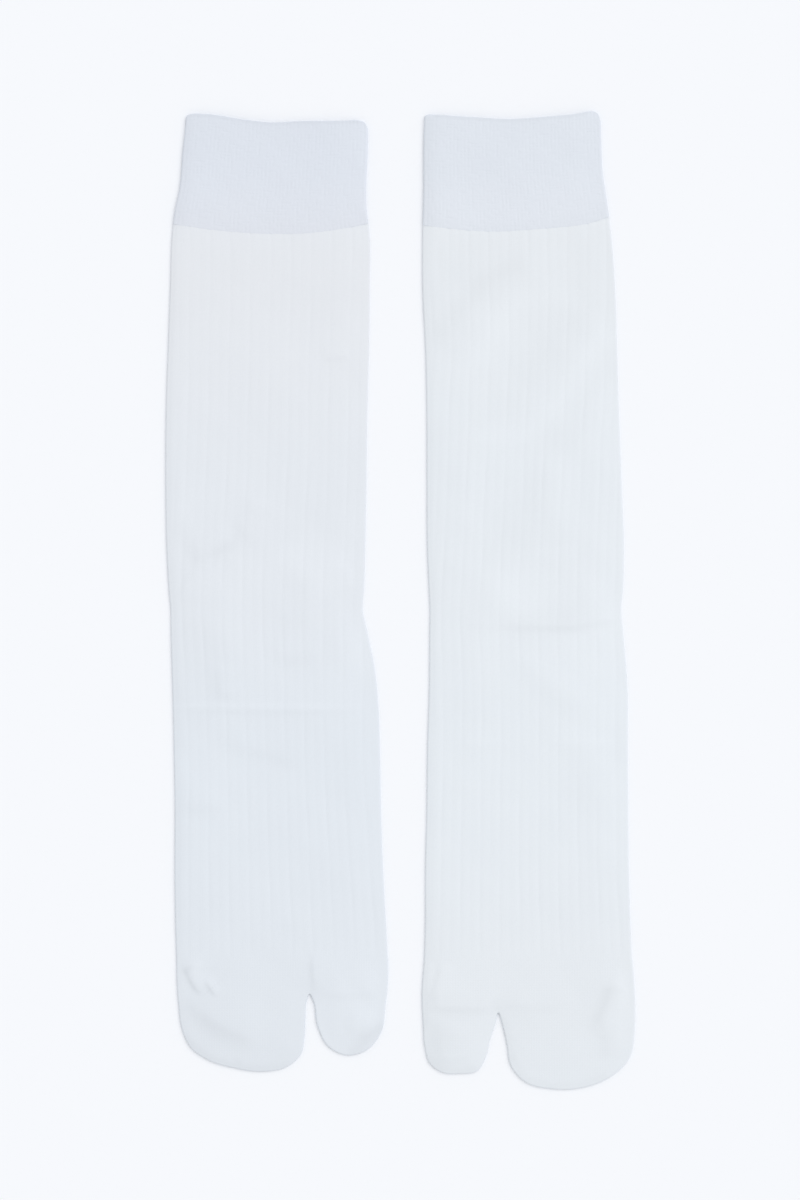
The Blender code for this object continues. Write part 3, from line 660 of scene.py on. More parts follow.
# %% Two helpers for materials
def linear(colour):
    """A "#rrggbb" screen colour as linear RGBA."""
    parts = [int(colour[i : i + 2], 16) / 255 for i in (1, 3, 5)]
    return (*[c / 12.92 if c <= 0.04045 else ((c + 0.055) / 1.055) ** 2.4 for c in parts], 1)


def add_node(tree, kind, inputs=(), output=0, **settings):
    """Adds a node with its settings, fills each input with a number or a link, and gives an output."""
    node = tree.nodes.new(kind)
    for key, value in settings.items():
        setattr(node, key, value)
    for key, value in dict(inputs).items():
        if isinstance(value, bpy.types.NodeSocket):
            tree.links.new(value, node.inputs[key])
        else:
            node.inputs[key].default_value = value
    return node.outputs[output]


print(f"half grey on a screen is {linear('#808080')[0]:.3f} in linear light")

# %% [markdown]
# ## The stitches
# Every stitch of a plain knit is a small V of two slanted strands, and each strand is round. A wale is
# one column of stitches and a course is one row. They could be real loops of yarn, but at a millimetre
# each there are far too many, so they are a bump over the map in millimetres: high along the middle of
# a strand, low between two wales, and a little lower where one course meets the next.

# %% Work the stitches into a bump
MATH = "ShaderNodeMath"
TURN = 2 * math.pi
YARN_HEIGHT = 0.02  # mm, from the cloth to the top of a strand
STRAND_SLANT = 1.3  # how many courses a strand would climb over a whole wale
STRAND_DIP = 0.4  # share of its height that a strand loses between two courses


def stitches(tree, wale, course):
    """The bump of stitches with this wale and course, in mm."""
    place = add_node(tree, "ShaderNodeUVMap", uv_map="knit")
    across = add_node(tree, "ShaderNodeSeparateXYZ", {0: place})
    down = across.node.outputs[1]
    wales = add_node(tree, MATH, {0: across, 1: wale}, operation="DIVIDE")
    courses = add_node(tree, MATH, {0: down, 1: course}, operation="DIVIDE")
    in_wale = add_node(tree, MATH, {0: wales}, operation="FRACT")
    from_middle = add_node(tree, MATH, {0: in_wale, 1: 0.5}, operation="SUBTRACT")
    side = add_node(tree, MATH, {0: from_middle}, operation="ABSOLUTE")
    angle = add_node(tree, MATH, {0: side, 1: TURN}, operation="MULTIPLY")
    strand = add_node(tree, MATH, {0: angle}, operation="SINE")
    climb = {0: side, 1: STRAND_SLANT, 2: courses}
    climb = add_node(tree, MATH, climb, operation="MULTIPLY_ADD")
    angle = add_node(tree, MATH, {0: climb, 1: TURN}, operation="MULTIPLY")
    row = add_node(tree, MATH, {0: angle}, operation="COSINE")
    full = {0: row, 1: STRAND_DIP, 2: 1 - STRAND_DIP}
    full = add_node(tree, MATH, full, operation="MULTIPLY_ADD")
    height = add_node(tree, MATH, {0: strand, 1: full}, operation="MULTIPLY")
    bump = {"Height": height, "Distance": YARN_HEIGHT * MM, "Strength": 1.0}
    return add_node(tree, "ShaderNodeBump", bump)


print(f"a strand stands {YARN_HEIGHT} mm off the cloth")

# %% [markdown]
# ## The white of the yarn
# Bleached cotton takes the tinge of the light, and no length of it is quite like the next. So a slow
# noise moves its white towards a darker shade. Fine fibres stand off the yarn, and they are far too thin
# to show, so a second noise draws their fuzz coarser, in tufts a millimetre wide. The slow tones and the
# painted light and shade on the mesh are multiplied in last. An image of cloth would do as well, but
# noise shows no joins.

# %% Colour the yarn
MIX, NOISE = "ShaderNodeMix", "ShaderNodeTexNoise"
MIX_A, MIX_B, MIX_RESULT = 6, 7, 2  # the colour sockets of a mix node
SLOW_WIDTH = 1000 / 34  # mm: 34 slow changes in a metre of cloth
FUZZ_WIDTH = 10 / 9  # mm: nine tufts in a centimetre, coarser than real ones so that they show
SLOW_DETAIL, FUZZ_DETAIL = 2.0, 3.0
COLOUR_SHARES = (0.25, 0.32, 0.18)  # of the yarn's colour: everywhere, by slow changes, by fuzz


def yarn_white(tree, colour, shade):
    """The knit's colour: between shade and colour, times the slow tones and painted light and shade on
    the mesh.
    """
    where = add_node(tree, "ShaderNodeTexCoord", output="Object")
    slow = {"Vector": where, "Scale": 1 / (SLOW_WIDTH * MM), "Detail": SLOW_DETAIL}
    slow = add_node(tree, NOISE, slow)
    fuzz = {"Vector": where, "Scale": 1 / (FUZZ_WIDTH * MM), "Detail": FUZZ_DETAIL}
    fuzz = add_node(tree, NOISE, fuzz)
    everywhere, by_slow, by_fuzz = COLOUR_SHARES
    share = add_node(tree, MATH, {0: slow, 1: by_slow, 2: everywhere}, operation="MULTIPLY_ADD")
    share = add_node(tree, MATH, {0: fuzz, 1: by_fuzz, 2: share}, operation="MULTIPLY_ADD")
    yarn = {"Factor": share, MIX_A: linear(shade), MIX_B: linear(colour)}
    yarn = add_node(tree, MIX, yarn, MIX_RESULT, data_type="RGBA")
    # the slow tones and the painted light and shade that lie on the mesh
    mesh_tone_and_shade = add_node(tree, "ShaderNodeAttribute", output="Color", attribute_name="tone_and_painted_shade")
    shaded = {"Factor": 1.0, MIX_A: yarn, MIX_B: mesh_tone_and_shade}
    return add_node(tree, MIX, shaded, MIX_RESULT, data_type="RGBA", blend_type="MULTIPLY")


print(f"slow changes {SLOW_WIDTH:.0f} mm wide, tufts {FUZZ_WIDTH:.1f} mm wide")

# %% [markdown]
# ## Three knits of one yarn
# The yarn is combed cotton, bleached white, with a little nylon, and it is knitted in three ways. Spun
# fibres scatter light in every direction, so the cloth is dull, and the fibres that stand off it give
# its edges a faint bright rim, which is sheen. A knitted face is darker than a smooth one, since light
# is lost between the stitches. The wide ribs and the jersey of the toes are one gauge. The cuff is
# knitted closer, with an elastic thread, and looks a little darker and cooler.

# %% Make the knitted materials
COTTON_IOR = 1.5
COTTON_ROUGHNESS = 0.92  # no highlight, as on any spun yarn
COTTON_SPECULAR = 0.3
FUZZ_SHEEN, FUZZ_ROUGHNESS = 0.4, 0.35  # the bright rim
WALE, COURSE = 1.45, 1.1  # mm, of the ribs and of the plain toes
CUFF_WALE, CUFF_COURSE = 0.88, 1.3
BLEACHED, BLEACHED_SHADE = "#edf2f7", "#e1e6ec"
CUFF_WHITE, CUFF_SHADE = "#e6ecf4", "#dadfe8"


def knit(name, colour, shade, wale, course):
    """Knitted cotton in colour, with slow changes towards shade and stitches of this size in mm."""
    material = bpy.data.materials.new(name)
    material.use_nodes = True
    tree = material.node_tree
    sockets = tree.nodes["Principled BSDF"].inputs
    tree.links.new(yarn_white(tree, colour, shade), sockets["Base Color"])
    tree.links.new(stitches(tree, wale, course), sockets["Normal"])
    sockets["Roughness"].default_value = COTTON_ROUGHNESS
    sockets["IOR"].default_value = COTTON_IOR
    sockets["Specular IOR Level"].default_value = COTTON_SPECULAR
    sockets["Sheen Weight"].default_value = FUZZ_SHEEN
    sockets["Sheen Roughness"].default_value = FUZZ_ROUGHNESS
    return material


wide_rib = knit("bleached_cotton_wide_rib", BLEACHED, BLEACHED_SHADE, WALE, COURSE)
jersey = knit("bleached_cotton_jersey", BLEACHED, BLEACHED_SHADE, WALE, COURSE)
cuff_rib = knit("elastic_cotton_cuff_rib", CUFF_WHITE, CUFF_SHADE, CUFF_WALE, CUFF_COURSE)
for material in (wide_rib, jersey, cuff_rib):
    print(material.name, "has", len(material.node_tree.nodes), "nodes")

# %% [markdown]
# ## The rows of the leg
# The leg and the foot are one ribbed tube, knitted round and round. Its rows are straight across the
# foot and follow the curve of the cuff's seam at the top. They stand close enough for the soft folds,
# and closer still where a narrow crease crosses the leg, so that no point is spent where nothing bends.

# %% Lay out the rows of the leg
ROW_STEP = 1.4
FINE_STEP = 0.7  # where a crease crosses the sock
SEAM_EASE = 30.0  # the cuff seam's curve has died away this far down the leg


def leg_top(sock):
    """The highest y of the cuff's seam, where the leg's first row starts."""
    return max(y for x, y in sock["cuff_seam"])


def toe_seam(sock):
    """The y where the ribbed tube ends and the plain toes begin."""
    return sock["toes"][0][1]


def leg_line(sock, y, x):
    """The y at x of the leg's row y. Under the cuff a row follows the cuff's seam."""
    top = leg_top(sock)
    dip = top - along(sock["cuff_seam"], x)
    return y - dip * ease(1 - (top - y) / SEAM_EASE)


def leg_rows(sock, step):
    """The rows down the leg, closer where a crease crosses it."""
    y, bottom = leg_top(sock), toe_seam(sock)
    rows = [y]
    while y - bottom > step:
        fine = step == ROW_STEP and any(low < y < high for low, high in sock["fine_rows"])
        y -= FINE_STEP if fine else step
        rows.append(y)
    if y - bottom < step / 2:
        rows.pop()
    return np.array([*rows, bottom])


def leg_sides(sock, rows):
    """The left and right sides where each row meets them, as columns of numbers."""
    table, ends = sock["sides"], []
    for i in (1, 2):
        ends.append(column(table, i, leg_line(sock, rows, column(table, i, rows)))[:, None])
    return ends


for name, sock in SOCKS.items():
    print(name, "leg:", len(leg_rows(sock, ROW_STEP)), "rows")

# %% [markdown]
# ## The ribs
# A rib is six wales wide, about 8.6 mm, with a narrow groove between two ribs where the stitches turn
# over, and a fainter line down its middle. Ribs could be bump, but they catch the light from the side,
# so they are real grooves in the mesh. Yarn is never fed quite evenly: a groove wanders a little to
# either side and is deeper in some places than in others. Sine waves that start elsewhere for each rib
# give that, and give the same result each time, as a random number might not.

# %% Press the grooves between the ribs
RIB_RISE = 0.13
GROOVE = 0.95  # half width of the groove between ribs
MIDDLE_GROOVE = 0.7
MIDDLE_DEPTH = 0.05
CROWN = 0.03  # a rib's middle over its sides
WANDER = ((0.13, (9.0, 1.7)), (0.08, (4.1, 2.9)))  # to the side in mm, and the wave that it follows
GROOVE_PULL = (0.85, 0.4, (19.0, 2.3), (8.3, 4.1))  # strength: mean, swing and two waves
MIDDLE_PULL = (0.7, 0.3, (13.0, 3.7))


def wave(place, number, length, shift):
    """A sine wave, 2 pi lengths long, that starts at another place for each numbered rib or row."""
    return np.sin(place / length + shift * number)


def rib_phase(sock, x, y):
    """How many ribs x lies from the first groove, and the ribs' pitch at y."""
    first, pitch = (column(sock["grooves"], i, y) for i in (1, 2))
    return (x - first) / pitch, pitch


def groove_depth(phase, pitch, y):
    """How far the cloth lies under the top of the ribs."""
    number = np.round(phase)
    half = np.floor(phase) + 0.5
    wander = sum(size * wave(y, number, *slow) for size, slow in WANDER)
    mean, swing, slow, fast = GROOVE_PULL
    strong = mean + swing * wave(y, number, *slow) * wave(y, number, *fast)
    mean, swing, slow = MIDDLE_PULL
    faint = mean + swing * wave(y, half, *slow)
    from_groove = (phase - number) * pitch + wander
    from_middle = (phase - half) * pitch + wander
    depth = RIB_RISE * strong * np.exp(-((from_groove / GROOVE) ** 2))
    depth += MIDDLE_DEPTH * faint * np.exp(-((from_middle / MIDDLE_GROOVE) ** 2))
    return depth + CROWN * (2 * (phase - number)) ** 2


for name, sock in SOCKS.items():
    pitch = rib_phase(sock, sock["heel"]["x"], ANKLE)[1]
    depth = groove_depth(np.linspace(3, 4), pitch, ANKLE).max()
    print(f"{name} leg: ribs {pitch:.1f} mm apart, grooves {depth:.2f} mm deep at the ankle")

# %% [markdown]
# ## Columns that follow the ribs
# The columns of the mesh follow the grooves and stand close together in them, and the strips beside the
# outermost ribs take up what the leg's changing width leaves. An even grid would cut across the grooves
# at a slant and leave small steps in them. The ribs die away beside the side folds, where the cloth is
# bent round, and just above the toes, where the knit changes.

# %% Lay out the columns of the leg
GROOVE_COLUMNS = (-0.16, -0.1, -0.05, 0.0, 0.05, 0.1, 0.16, 0.25, 0.36, 0.43, 0.5, 0.57, 0.64, 0.75)
RIB_NUMBERS = range(-1, 10)
CORE = (-0.25, 7.85)  # ribs that show all the way down, counted from the first groove
LEFT_STRIP, RIGHT_STRIP = 12, 26  # columns beside them
RIB_FADE = 2.0  # the ribs die away over this width beside a side fold
RIB_END = 6.0  # their grooves fill up over this length above the toes
RIB_SETTLE = 30.0  # and the cloth comes down to the toes over this one


def leg_columns(sock, rows):
    """x of each column of a sheet: close together in the grooves, evenly spread beside the sides."""
    left, right = leg_sides(sock, rows)
    first, pitch = (column(sock["grooves"], i, rows)[:, None] for i in (1, 2))
    phases = np.array([number + part for number in RIB_NUMBERS for part in GROOVE_COLUMNS])
    core = first + pitch * phases[(phases >= CORE[0]) & (phases <= CORE[1])]
    spread = np.linspace(0, 1, LEFT_STRIP + 1)[:-1]
    before = left + FOLD_RADIUS + spread * (core[:, :1] - left - FOLD_RADIUS)
    spread = np.linspace(0, 1, RIGHT_STRIP + 1)[1:]
    after = core[:, -1:] + spread * (right - FOLD_RADIUS - core[:, -1:])
    return np.hstack([before, core, after])


def leg_rings(sock, rows, x, ribs):
    """Rings of the leg's outside, or without ribs of the plain face that its inside follows."""
    def line(x):
        return leg_line(sock, rows[:, None], x)

    xs, zs = ring_points(sock, x, line, FOLD_RADIUS, FLAT_HEIGHT)
    if ribs:
        y, count = line(x), x.shape[1]
        above_toes = y - toe_seam(sock)
        beside = ease(np.minimum(x - x[:, :1], x[:, -1:] - x) / RIB_FADE)
        settle = RIB_RISE * beside * ease(above_toes / RIB_SETTLE)
        zs[:, count + FOLD_POINTS : 2 * count + FOLD_POINTS] += settle[:, ::-1]
        fade = beside * ease(above_toes / RIB_END) * column(sock["grooves"], 3, y)
        xs, zs = push_in(xs, zs, around(groove_depth(*rib_phase(sock, x, y), y) * fade))
    return xs, zs


for name, sock in SOCKS.items():
    print(name, "leg:", leg_columns(sock, leg_rows(sock, ROW_STEP)).shape[1], "columns a sheet")

# %% [markdown]
# ## The ribbed leg
# The outer face takes the rows and columns above, and the inner face far fewer, as it is plain and out
# of sight. Knitting joins the leg to the cuff and to the toes without a seam, so each end of the outer
# face is drawn out a little and dips under its neighbour, which leaves a fine line but no gap. On the
# cloth's own map a rib is always six wales wide, so a groove falls between two wales at any pitch.

# %% Knit the two legs
WALL = 0.65  # of thin knit pressed flat
TUCK = ((0.7, 0.35), (0.0, 0.25))  # an end reaches this far into its neighbour, this deep in the cloth
INNER_STEP, INNER_COLUMNS = 6.0, 24
WALES_IN_RIB = 6


def leg_outside(sock):
    """The rings of the ribbed face, and two at each end that dip under the neighbour."""
    rows = leg_rows(sock, ROW_STEP)
    xs, zs = leg_rings(sock, rows, leg_columns(sock, rows), True)
    ys = leg_line(sock, rows[:, None], xs)
    ends = []
    for end, way in ((0, 1), (-1, -1)):
        rings = []
        for reach, deep in TUCK:
            end_x, end_z = push_in(xs[end][None], zs[end][None], deep)
            rings.append(np.stack([end_x, ys[end][None] + way * reach, end_z], -1))
        ends.append(np.concatenate(rings[::way]))
    return np.concatenate([ends[0], np.stack([xs, ys, zs], -1), ends[1]])


def leg_inside(sock):
    """The rings of the plain face inside the tube."""
    rows = leg_rows(sock, INNER_STEP)
    left, right = leg_sides(sock, rows)
    x = left + FOLD_RADIUS + np.linspace(0, 1, INNER_COLUMNS) * (right - left - 2 * FOLD_RADIUS)
    xs, zs = leg_rings(sock, rows, x, False)
    ys = leg_line(sock, rows[:, None], xs)
    xs, zs = push_in(xs, zs, WALL)
    return np.stack([xs, ys, zs], -1)


def leg_cloth(sock, points):
    """Places on the cloth, six wales to a rib."""
    phase, _ = rib_phase(sock, points[:, 0], points[:, 1])
    return np.column_stack([phase * WALES_IN_RIB * WALE, points[:, 1]])


for name, sock in SOCKS.items():
    vertices, faces = tube(leg_outside(sock), leg_inside(sock))
    cloth = leg_cloth(sock, np.array(vertices))
    piece = add_piece(f"{name}_leg_cloth", vertices, faces, cloth, wide_rib)

# %% [markdown]
# ## The face of the cuff
# The cuff's ribs are fine, one wale up and one down, 1.76 mm apart, and there are as many at the narrow
# mouth as at the wide seam. The elastic thread pulls harder at some stitches than at others. Where it
# pulls, the valleys between the ribs show, and where it is slack, short lines between the rows of
# stitches show instead. So the band looks like a fine broken weave. Both are shallow relief in the mesh,
# and the single stitches are bump.

# %% Pull the face of the cuff into ribs and rows
CUFF_RIB_DEPTH = 0.12
CUFF_ROW_DEPTH = 0.1  # of the lines between its rows of stitches
ROWS_OVER_RIBS = 0.4  # share of a valley's depth that is lost where the rows show
PULL_SHARES = (0.45, 0.45, 0.5)  # of the pull on a valley: everywhere, by short waves, by long waves
SHORT_PULL = ((0.9, 1.7), (2.3, 1.3))
LONG_PULL = ((6.1, 0.37), (3.7, 0.9))
ROW_SHARES = (0.25, 0.7)  # of how far the rows show: everywhere, by waves
ROW_SHOWS = ((1.3, 2.1), (3.1, 0.9))


def hollow(turns):
    """A groove 1 deep in the middle of each turn, and 0 between two turns."""
    return 0.5 - 0.5 * np.cos(2 * math.pi * turns)


def cuff_depth(place, y, down):
    """How deep the cloth lies at place, in ribs, and at y, which is down from the seam."""
    rib, row = np.round(place - 0.5), np.floor(down / CUFF_COURSE)
    short = wave(y, rib**2, *SHORT_PULL[0]) * wave(y, rib, *SHORT_PULL[1])
    long = wave(y, rib, *LONG_PULL[0]) * wave(y, rib**2, *LONG_PULL[1])
    everywhere, by_short, by_long = PULL_SHARES
    pull = ease(everywhere + by_short * short + by_long * long)
    across = wave(place, row**2, *ROW_SHOWS[0]) * wave(place, row, *ROW_SHOWS[1])
    shows = ease(ROW_SHARES[0] + ROW_SHARES[1] * across)
    valley = CUFF_RIB_DEPTH * hollow(place) * pull
    return valley * (1 - ROWS_OVER_RIBS * shows) + CUFF_ROW_DEPTH * hollow(down / CUFF_COURSE) * shows


sample = cuff_depth(np.linspace(0, 10)[None], CALF, np.linspace(0, 10)[:, None])
print(f"the cuff's face is {sample.mean():.2f} mm deep on average, {sample.max():.2f} mm at most")

# %% [markdown]
# ## The rings of the cuff
# The cuff's rings run from the curved seam to the curved mouth, and change evenly from one to the other,
# as its rows of stitches do. Straight rings would be simpler, but they would meet both edges at a slant.
# A side of the sock is given as x for each y, and here the y of a ring depends on x in turn. Two or
# three rounds of one after the other settle both.

# %% Lay out the rings of the cuff
CUFF_RADIUS = 0.95
CUFF_HEIGHT = 2.4
CUFF_LENGTH = 50.0
CUFF_SPAN = (163.0, 211.0)  # y of the seam and of the mouth, roughly
CUFF_RIBS = 48  # across one sheet
SIDE_ROUNDS = 3


def cuff_rings(sock, parts, short, inward, columns, ribs):
    """Rings of the cuff: part 0 is the seam and 1 the mouth, less short, each pushed in by inward."""
    def line(x):
        seam, mouth = along(sock["cuff_seam"], x), along(sock["mouth"], x)
        return seam + parts[:, None] * (mouth - seam) - short[:, None]

    ends = []
    for i in (1, 2):
        y = np.interp(parts, (0, 1), CUFF_SPAN)
        for _ in range(SIDE_ROUNDS):
            x = column(sock["sides"], i, y)[:, None]
            y = line(x)[:, 0]
        ends.append(x)
    left, right = ends
    x = left + CUFF_RADIUS + np.linspace(0, 1, columns) * (right - left - 2 * CUFF_RADIUS)
    xs, zs = ring_points(sock, x, line, CUFF_RADIUS, CUFF_HEIGHT)
    depth = np.zeros(x.shape)
    if ribs:
        place = np.linspace(0, CUFF_RIBS, columns)
        depth = cuff_depth(place, line(x), CUFF_LENGTH * parts[:, None])
    new_x, new_z = push_in(xs, zs, around(depth) + inward[:, None])
    return np.stack([new_x, line(xs), new_z], -1)


for name, sock in SOCKS.items():
    ends = cuff_rings(sock, np.array([0.0, 1.0]), np.zeros(2), np.zeros(2), 2, False)
    seam, mouth = np.ptp(ends[:, :, 0], axis=1)
    print(f"{name} cuff: {seam:.1f} mm wide at its seam and {mouth:.1f} mm at its mouth")

# %% [markdown]
# ## The elastic cuff
# The cuff is knitted double and turned over at the mouth, so it is thicker than the leg and its edge is
# round. The last few rings turn in round that edge. Its two layers are one wall here, as the inner one
# never shows; two walls would be truer, but they could cut through each other where the mouth curves.

# %% Knit the two cuffs
CUFF_WALL = 0.9
RIB_POINTS = 5  # columns to a rib
CUFF_ROW_STEP = 0.325  # four rows of the mesh to a course
CUFF_INNER = (10, 60)  # rows and columns of the inner face
SEAM_PRESS = 0.03  # the first row lies this deep, where the leg's stitches take over
LIP_TURNS = np.linspace(0, 80, 6)  # degrees round the mouth's edge


def cuff(sock):
    """The outer and inner rings of the cuff."""
    radius = CUFF_WALL / 2
    turns = np.radians(LIP_TURNS)
    rows = np.linspace(0, 1, round(CUFF_LENGTH / CUFF_ROW_STEP))[:-1]
    parts = np.concatenate([rows, np.ones(len(turns))])
    short = radius * np.concatenate([rows, 1 - np.sin(turns)])
    round_in = radius * np.concatenate([0 * rows, 1 - np.cos(turns)])
    round_in[0] = SEAM_PRESS
    outer = cuff_rings(sock, parts, short, round_in, CUFF_RIBS * RIB_POINTS + 1, True)
    few_rows, few_columns = CUFF_INNER
    few = np.linspace(0, len(rows) - 1, few_rows).astype(int)
    few = np.concatenate([few, np.arange(len(rows), len(parts))])
    inner = cuff_rings(sock, parts[few], short[few], CUFF_WALL - round_in[few], few_columns, False)
    return outer, inner


def cuff_cloth(sock, points):
    """Places on the cloth: two wales to a rib."""
    left, right = sides(sock, points[:, 1])
    across = (points[:, 0] - left - CUFF_RADIUS) / (right - left - 2 * CUFF_RADIUS)
    return np.column_stack([across * CUFF_RIBS * 2 * CUFF_WALE, points[:, 1]])


for name, sock in SOCKS.items():
    vertices, faces = tube(*cuff(sock))
    cloth = cuff_cloth(sock, np.array(vertices))
    piece = add_piece(f"{name}_cuff_cloth", vertices, faces, cloth, cuff_rib)

# %% [markdown]
# ## The outline of the toes
# The toes are a plain pocket with two lobes, one for the big toe. Its outline is one curve from side to
# side, which dips between the lobes to the gusset where a sandal's thong goes. Two ovals side by side
# would be quicker to draw, but they meet in a plain notch, and the real gusset has a shape of its own.

# %% Draw the outline of the toes
def inset(line, depth, closed=False):
    """A counter-clockwise line moved inward by depth. The ends of an open one move straight across."""
    if closed:
        way = np.roll(line, -1, axis=0) - np.roll(line, 1, axis=0)
    else:
        way = np.gradient(line, axis=0)
        way[0], way[-1] = (0, -1), (0, 1)
    way /= np.hypot(*way.T)[:, None]
    return line + depth * np.column_stack([-way[:, 1], way[:, 0]])


def toe_outline(points, step):
    """The smooth curve through the outline of the toes, from the left side round to the right."""
    points = np.array(points if points[0][0] < points[-1][0] else points[::-1])
    length = np.concatenate([[0], np.cumsum(np.hypot(*np.diff(points, axis=0).T))])
    at = [0.0]
    for a, b in zip(length[:-1], length[1:]):
        at += list(np.linspace(a, b, max(1, round((b - a) / step)) + 1)[1:])
    return np.column_stack([smooth(np.column_stack([length, points[:, i]]), at) for i in (0, 1)])


for name, sock in SOCKS.items():
    line = toe_outline(sock["toes"], 1.0)
    print(f"{name} toes: {np.hypot(*np.diff(line, axis=0).T).sum():.0f} mm round the outline")

# %% [markdown]
# ## A net of triangles
# A face with two lobes can't be a plain grid, which would leave steps along the outline, and a
# subdivided cage would round off the gusset. So the outline is kept as it is, a grid of points is laid
# inside it, and triangles join them all.

# %% Fill a face with a net
INSIDE_ONLY = 1  # keeps the triangles that lie inside the outline
SAME_POINT = 1e-6


def inside(line, points):
    """Which points lie inside a closed line."""
    x, y = points.T[:, :, None]
    (x0, y0), (x1, y1) = line.T, np.roll(line, -1, axis=0).T
    crossed = (y0 > y) != (y1 > y)
    reach = x0 + (y - y0) * (x1 - x0) / np.where(y1 == y0, 1, y1 - y0)
    return (crossed & (x < reach)).sum(1) % 2 == 1


def distance(line, points):
    """The distance of each point from a line of points."""
    nearest = np.full(len(points), np.inf)
    for start, end in zip(line[:-1], line[1:]):
        way = end - start
        t = np.clip((points - start) @ way / max(way @ way, TINY), 0, 1)
        nearest = np.minimum(nearest, np.hypot(*(points - start - t[:, None] * way).T))
    return nearest


def fill(line, step):
    """Points and triangles that fill a closed line, with a grid of points inside it."""
    low, high = line.min(axis=0), line.max(axis=0)
    grid = np.stack(np.meshgrid(*(np.arange(a + step / 2, b, step) for a, b in zip(low, high))), -1)
    grid = grid.reshape(-1, 2)
    grid = grid[inside(line, grid)]
    grid = grid[distance(np.vstack([line, line[:1]]), grid) > step / 2]
    points = [tuple(p) for p in np.vstack([line, grid])]
    found = delaunay_2d_cdt(points, [], [list(range(len(line)))], INSIDE_ONLY, SAME_POINT)
    return np.array([tuple(p) for p in found[0]]), found[2]


square = np.array([(0.0, 0.0), (10.0, 0.0), (10.0, 10.0), (0.0, 10.0)])
print("a square of 10 mm with a net of 2.5 mm:", len(fill(square, 2.5)[1]), "triangles")

# %% [markdown]
# ## The wall of the pocket
# The outline is moved inward in small steps, each a little higher above it and a little lower below,
# which makes the round edge, and a net fills the rest of each face. The upper face follows the same
# folds as the leg, so a crease runs on from one to the other. The open end is a loop of points, to which
# the second wall is joined.

# %% Build one wall of the toes
OUTLINE_STEP, NET_STEP = 0.8, 0.62
INNER_OUTLINE_STEP, INNER_NET_STEP = 4.0, 6.0
EDGE_TURNS = (0.1, 0.2, 0.3, 0.4)  # points round the edge, in half turns from its outermost line


def pocket(sock, outline_step, net_step, turns, inward, start):
    """Vertices, faces and open end of one wall of the toes, inward under the outer face."""
    line = toe_outline(sock["toes"], outline_step)
    count = len(line)
    width = line[-1][0] - line[0][0] - 2 * FOLD_RADIUS
    across = np.linspace(line[-1][0] - FOLD_RADIUS, line[0][0] + FOLD_RADIUS, round(width / net_step))
    seam = [(x, toe_seam(sock)) for x in across[1:-1]]
    face, triangles = fill(np.vstack([inset(line, FOLD_RADIUS), seam]), net_step)
    beside = distance(line, face) - FOLD_RADIUS
    top = upper(sock, face[:, 0], face[:, 1], beside, FOLD_RADIUS, FLAT_HEIGHT)
    vertices, faces = [], []

    def add(points, z):
        first = start + len(vertices)
        vertices.extend(np.column_stack([points, np.broadcast_to(z, len(points))]).tolist())
        return list(range(first, start + len(vertices)))

    small = FOLD_RADIUS - inward
    middle = add(inset(line, inward), FOLD_RADIUS)
    end = [middle[0]]
    for way in (1, -1):
        strips = [middle]
        for turn in turns:
            depth = FOLD_RADIUS - small * math.cos(math.pi * turn)
            z = FOLD_RADIUS + way * small * math.sin(math.pi * turn)
            strips.append(add(inset(line, depth), z))
        sheet = add(face, top - inward if way == 1 else inward)
        strips.append(sheet)
        faces += [[sheet[i] for i in triangle][::way] for triangle in triangles]
        for a, b in zip(strips[:-1], strips[1:]):
            faces += [(a[i], a[i + 1], b[i + 1], b[i])[::way] for i in range(count - 1)]
        crossing = sheet[count : count + len(seam)]
        lead, back = [s[0] for s in strips[1:]], [s[count - 1] for s in strips[1:]]
        if way == 1:
            end += lead + crossing[::-1] + back[::-1] + [middle[-1]]
        else:
            end += back + crossing + lead[::-1]
    return vertices, faces, end


for name, sock in SOCKS.items():
    points, _, end = pocket(sock, INNER_OUTLINE_STEP, INNER_NET_STEP, (), WALL, 0)
    print(f"{name} toes, inner wall: {len(points)} points, {len(end)} of them round its open end")

# %% [markdown]
# ## The split toes
# The toes are knitted in plain jersey, smoother than the ribs, so the pocket has no grooves and only
# short folds. A close net outside and a coarse one inside make its two walls. One sheet with a thickness
# added by Blender would be shorter to write, but its inside would cross itself in the gusset, where the
# two lobes meet.

# %% Close the two pairs of lobes
def toes(sock):
    """The pocket's outer and inner walls, joined round the open end."""
    vertices, faces, outer_end = pocket(sock, OUTLINE_STEP, NET_STEP, EDGE_TURNS, 0.0, 0)
    more, inner_faces, inner_end = pocket(
        sock, INNER_OUTLINE_STEP, INNER_NET_STEP, (), WALL, len(vertices)
    )
    vertices += more
    faces += [face[::-1] for face in inner_faces]
    return vertices, faces + rim(vertices, outer_end, inner_end)


for name, sock in SOCKS.items():
    vertices, faces = toes(sock)
    cloth = np.array(vertices)[:, :2]
    piece = add_piece(f"{name}_toes_cloth", vertices, faces, cloth, jersey)

# %% [markdown]
# ## The outline of the heel pouch
# Laid flat, a knitted heel has nowhere to go, so it folds under the sole, pointing at the toes. It is
# widest where it joins the sole and narrows to its fold. Only the step that it makes in the sock over it
# shows from above, and its lower layer shows from below. A plain oval would do from above, but the
# straight sides are what the short rows of a heel give.

# %% Draw the outline of the heel pouch
HEEL_CORNER = 9.0
CORNER_POINTS = 10


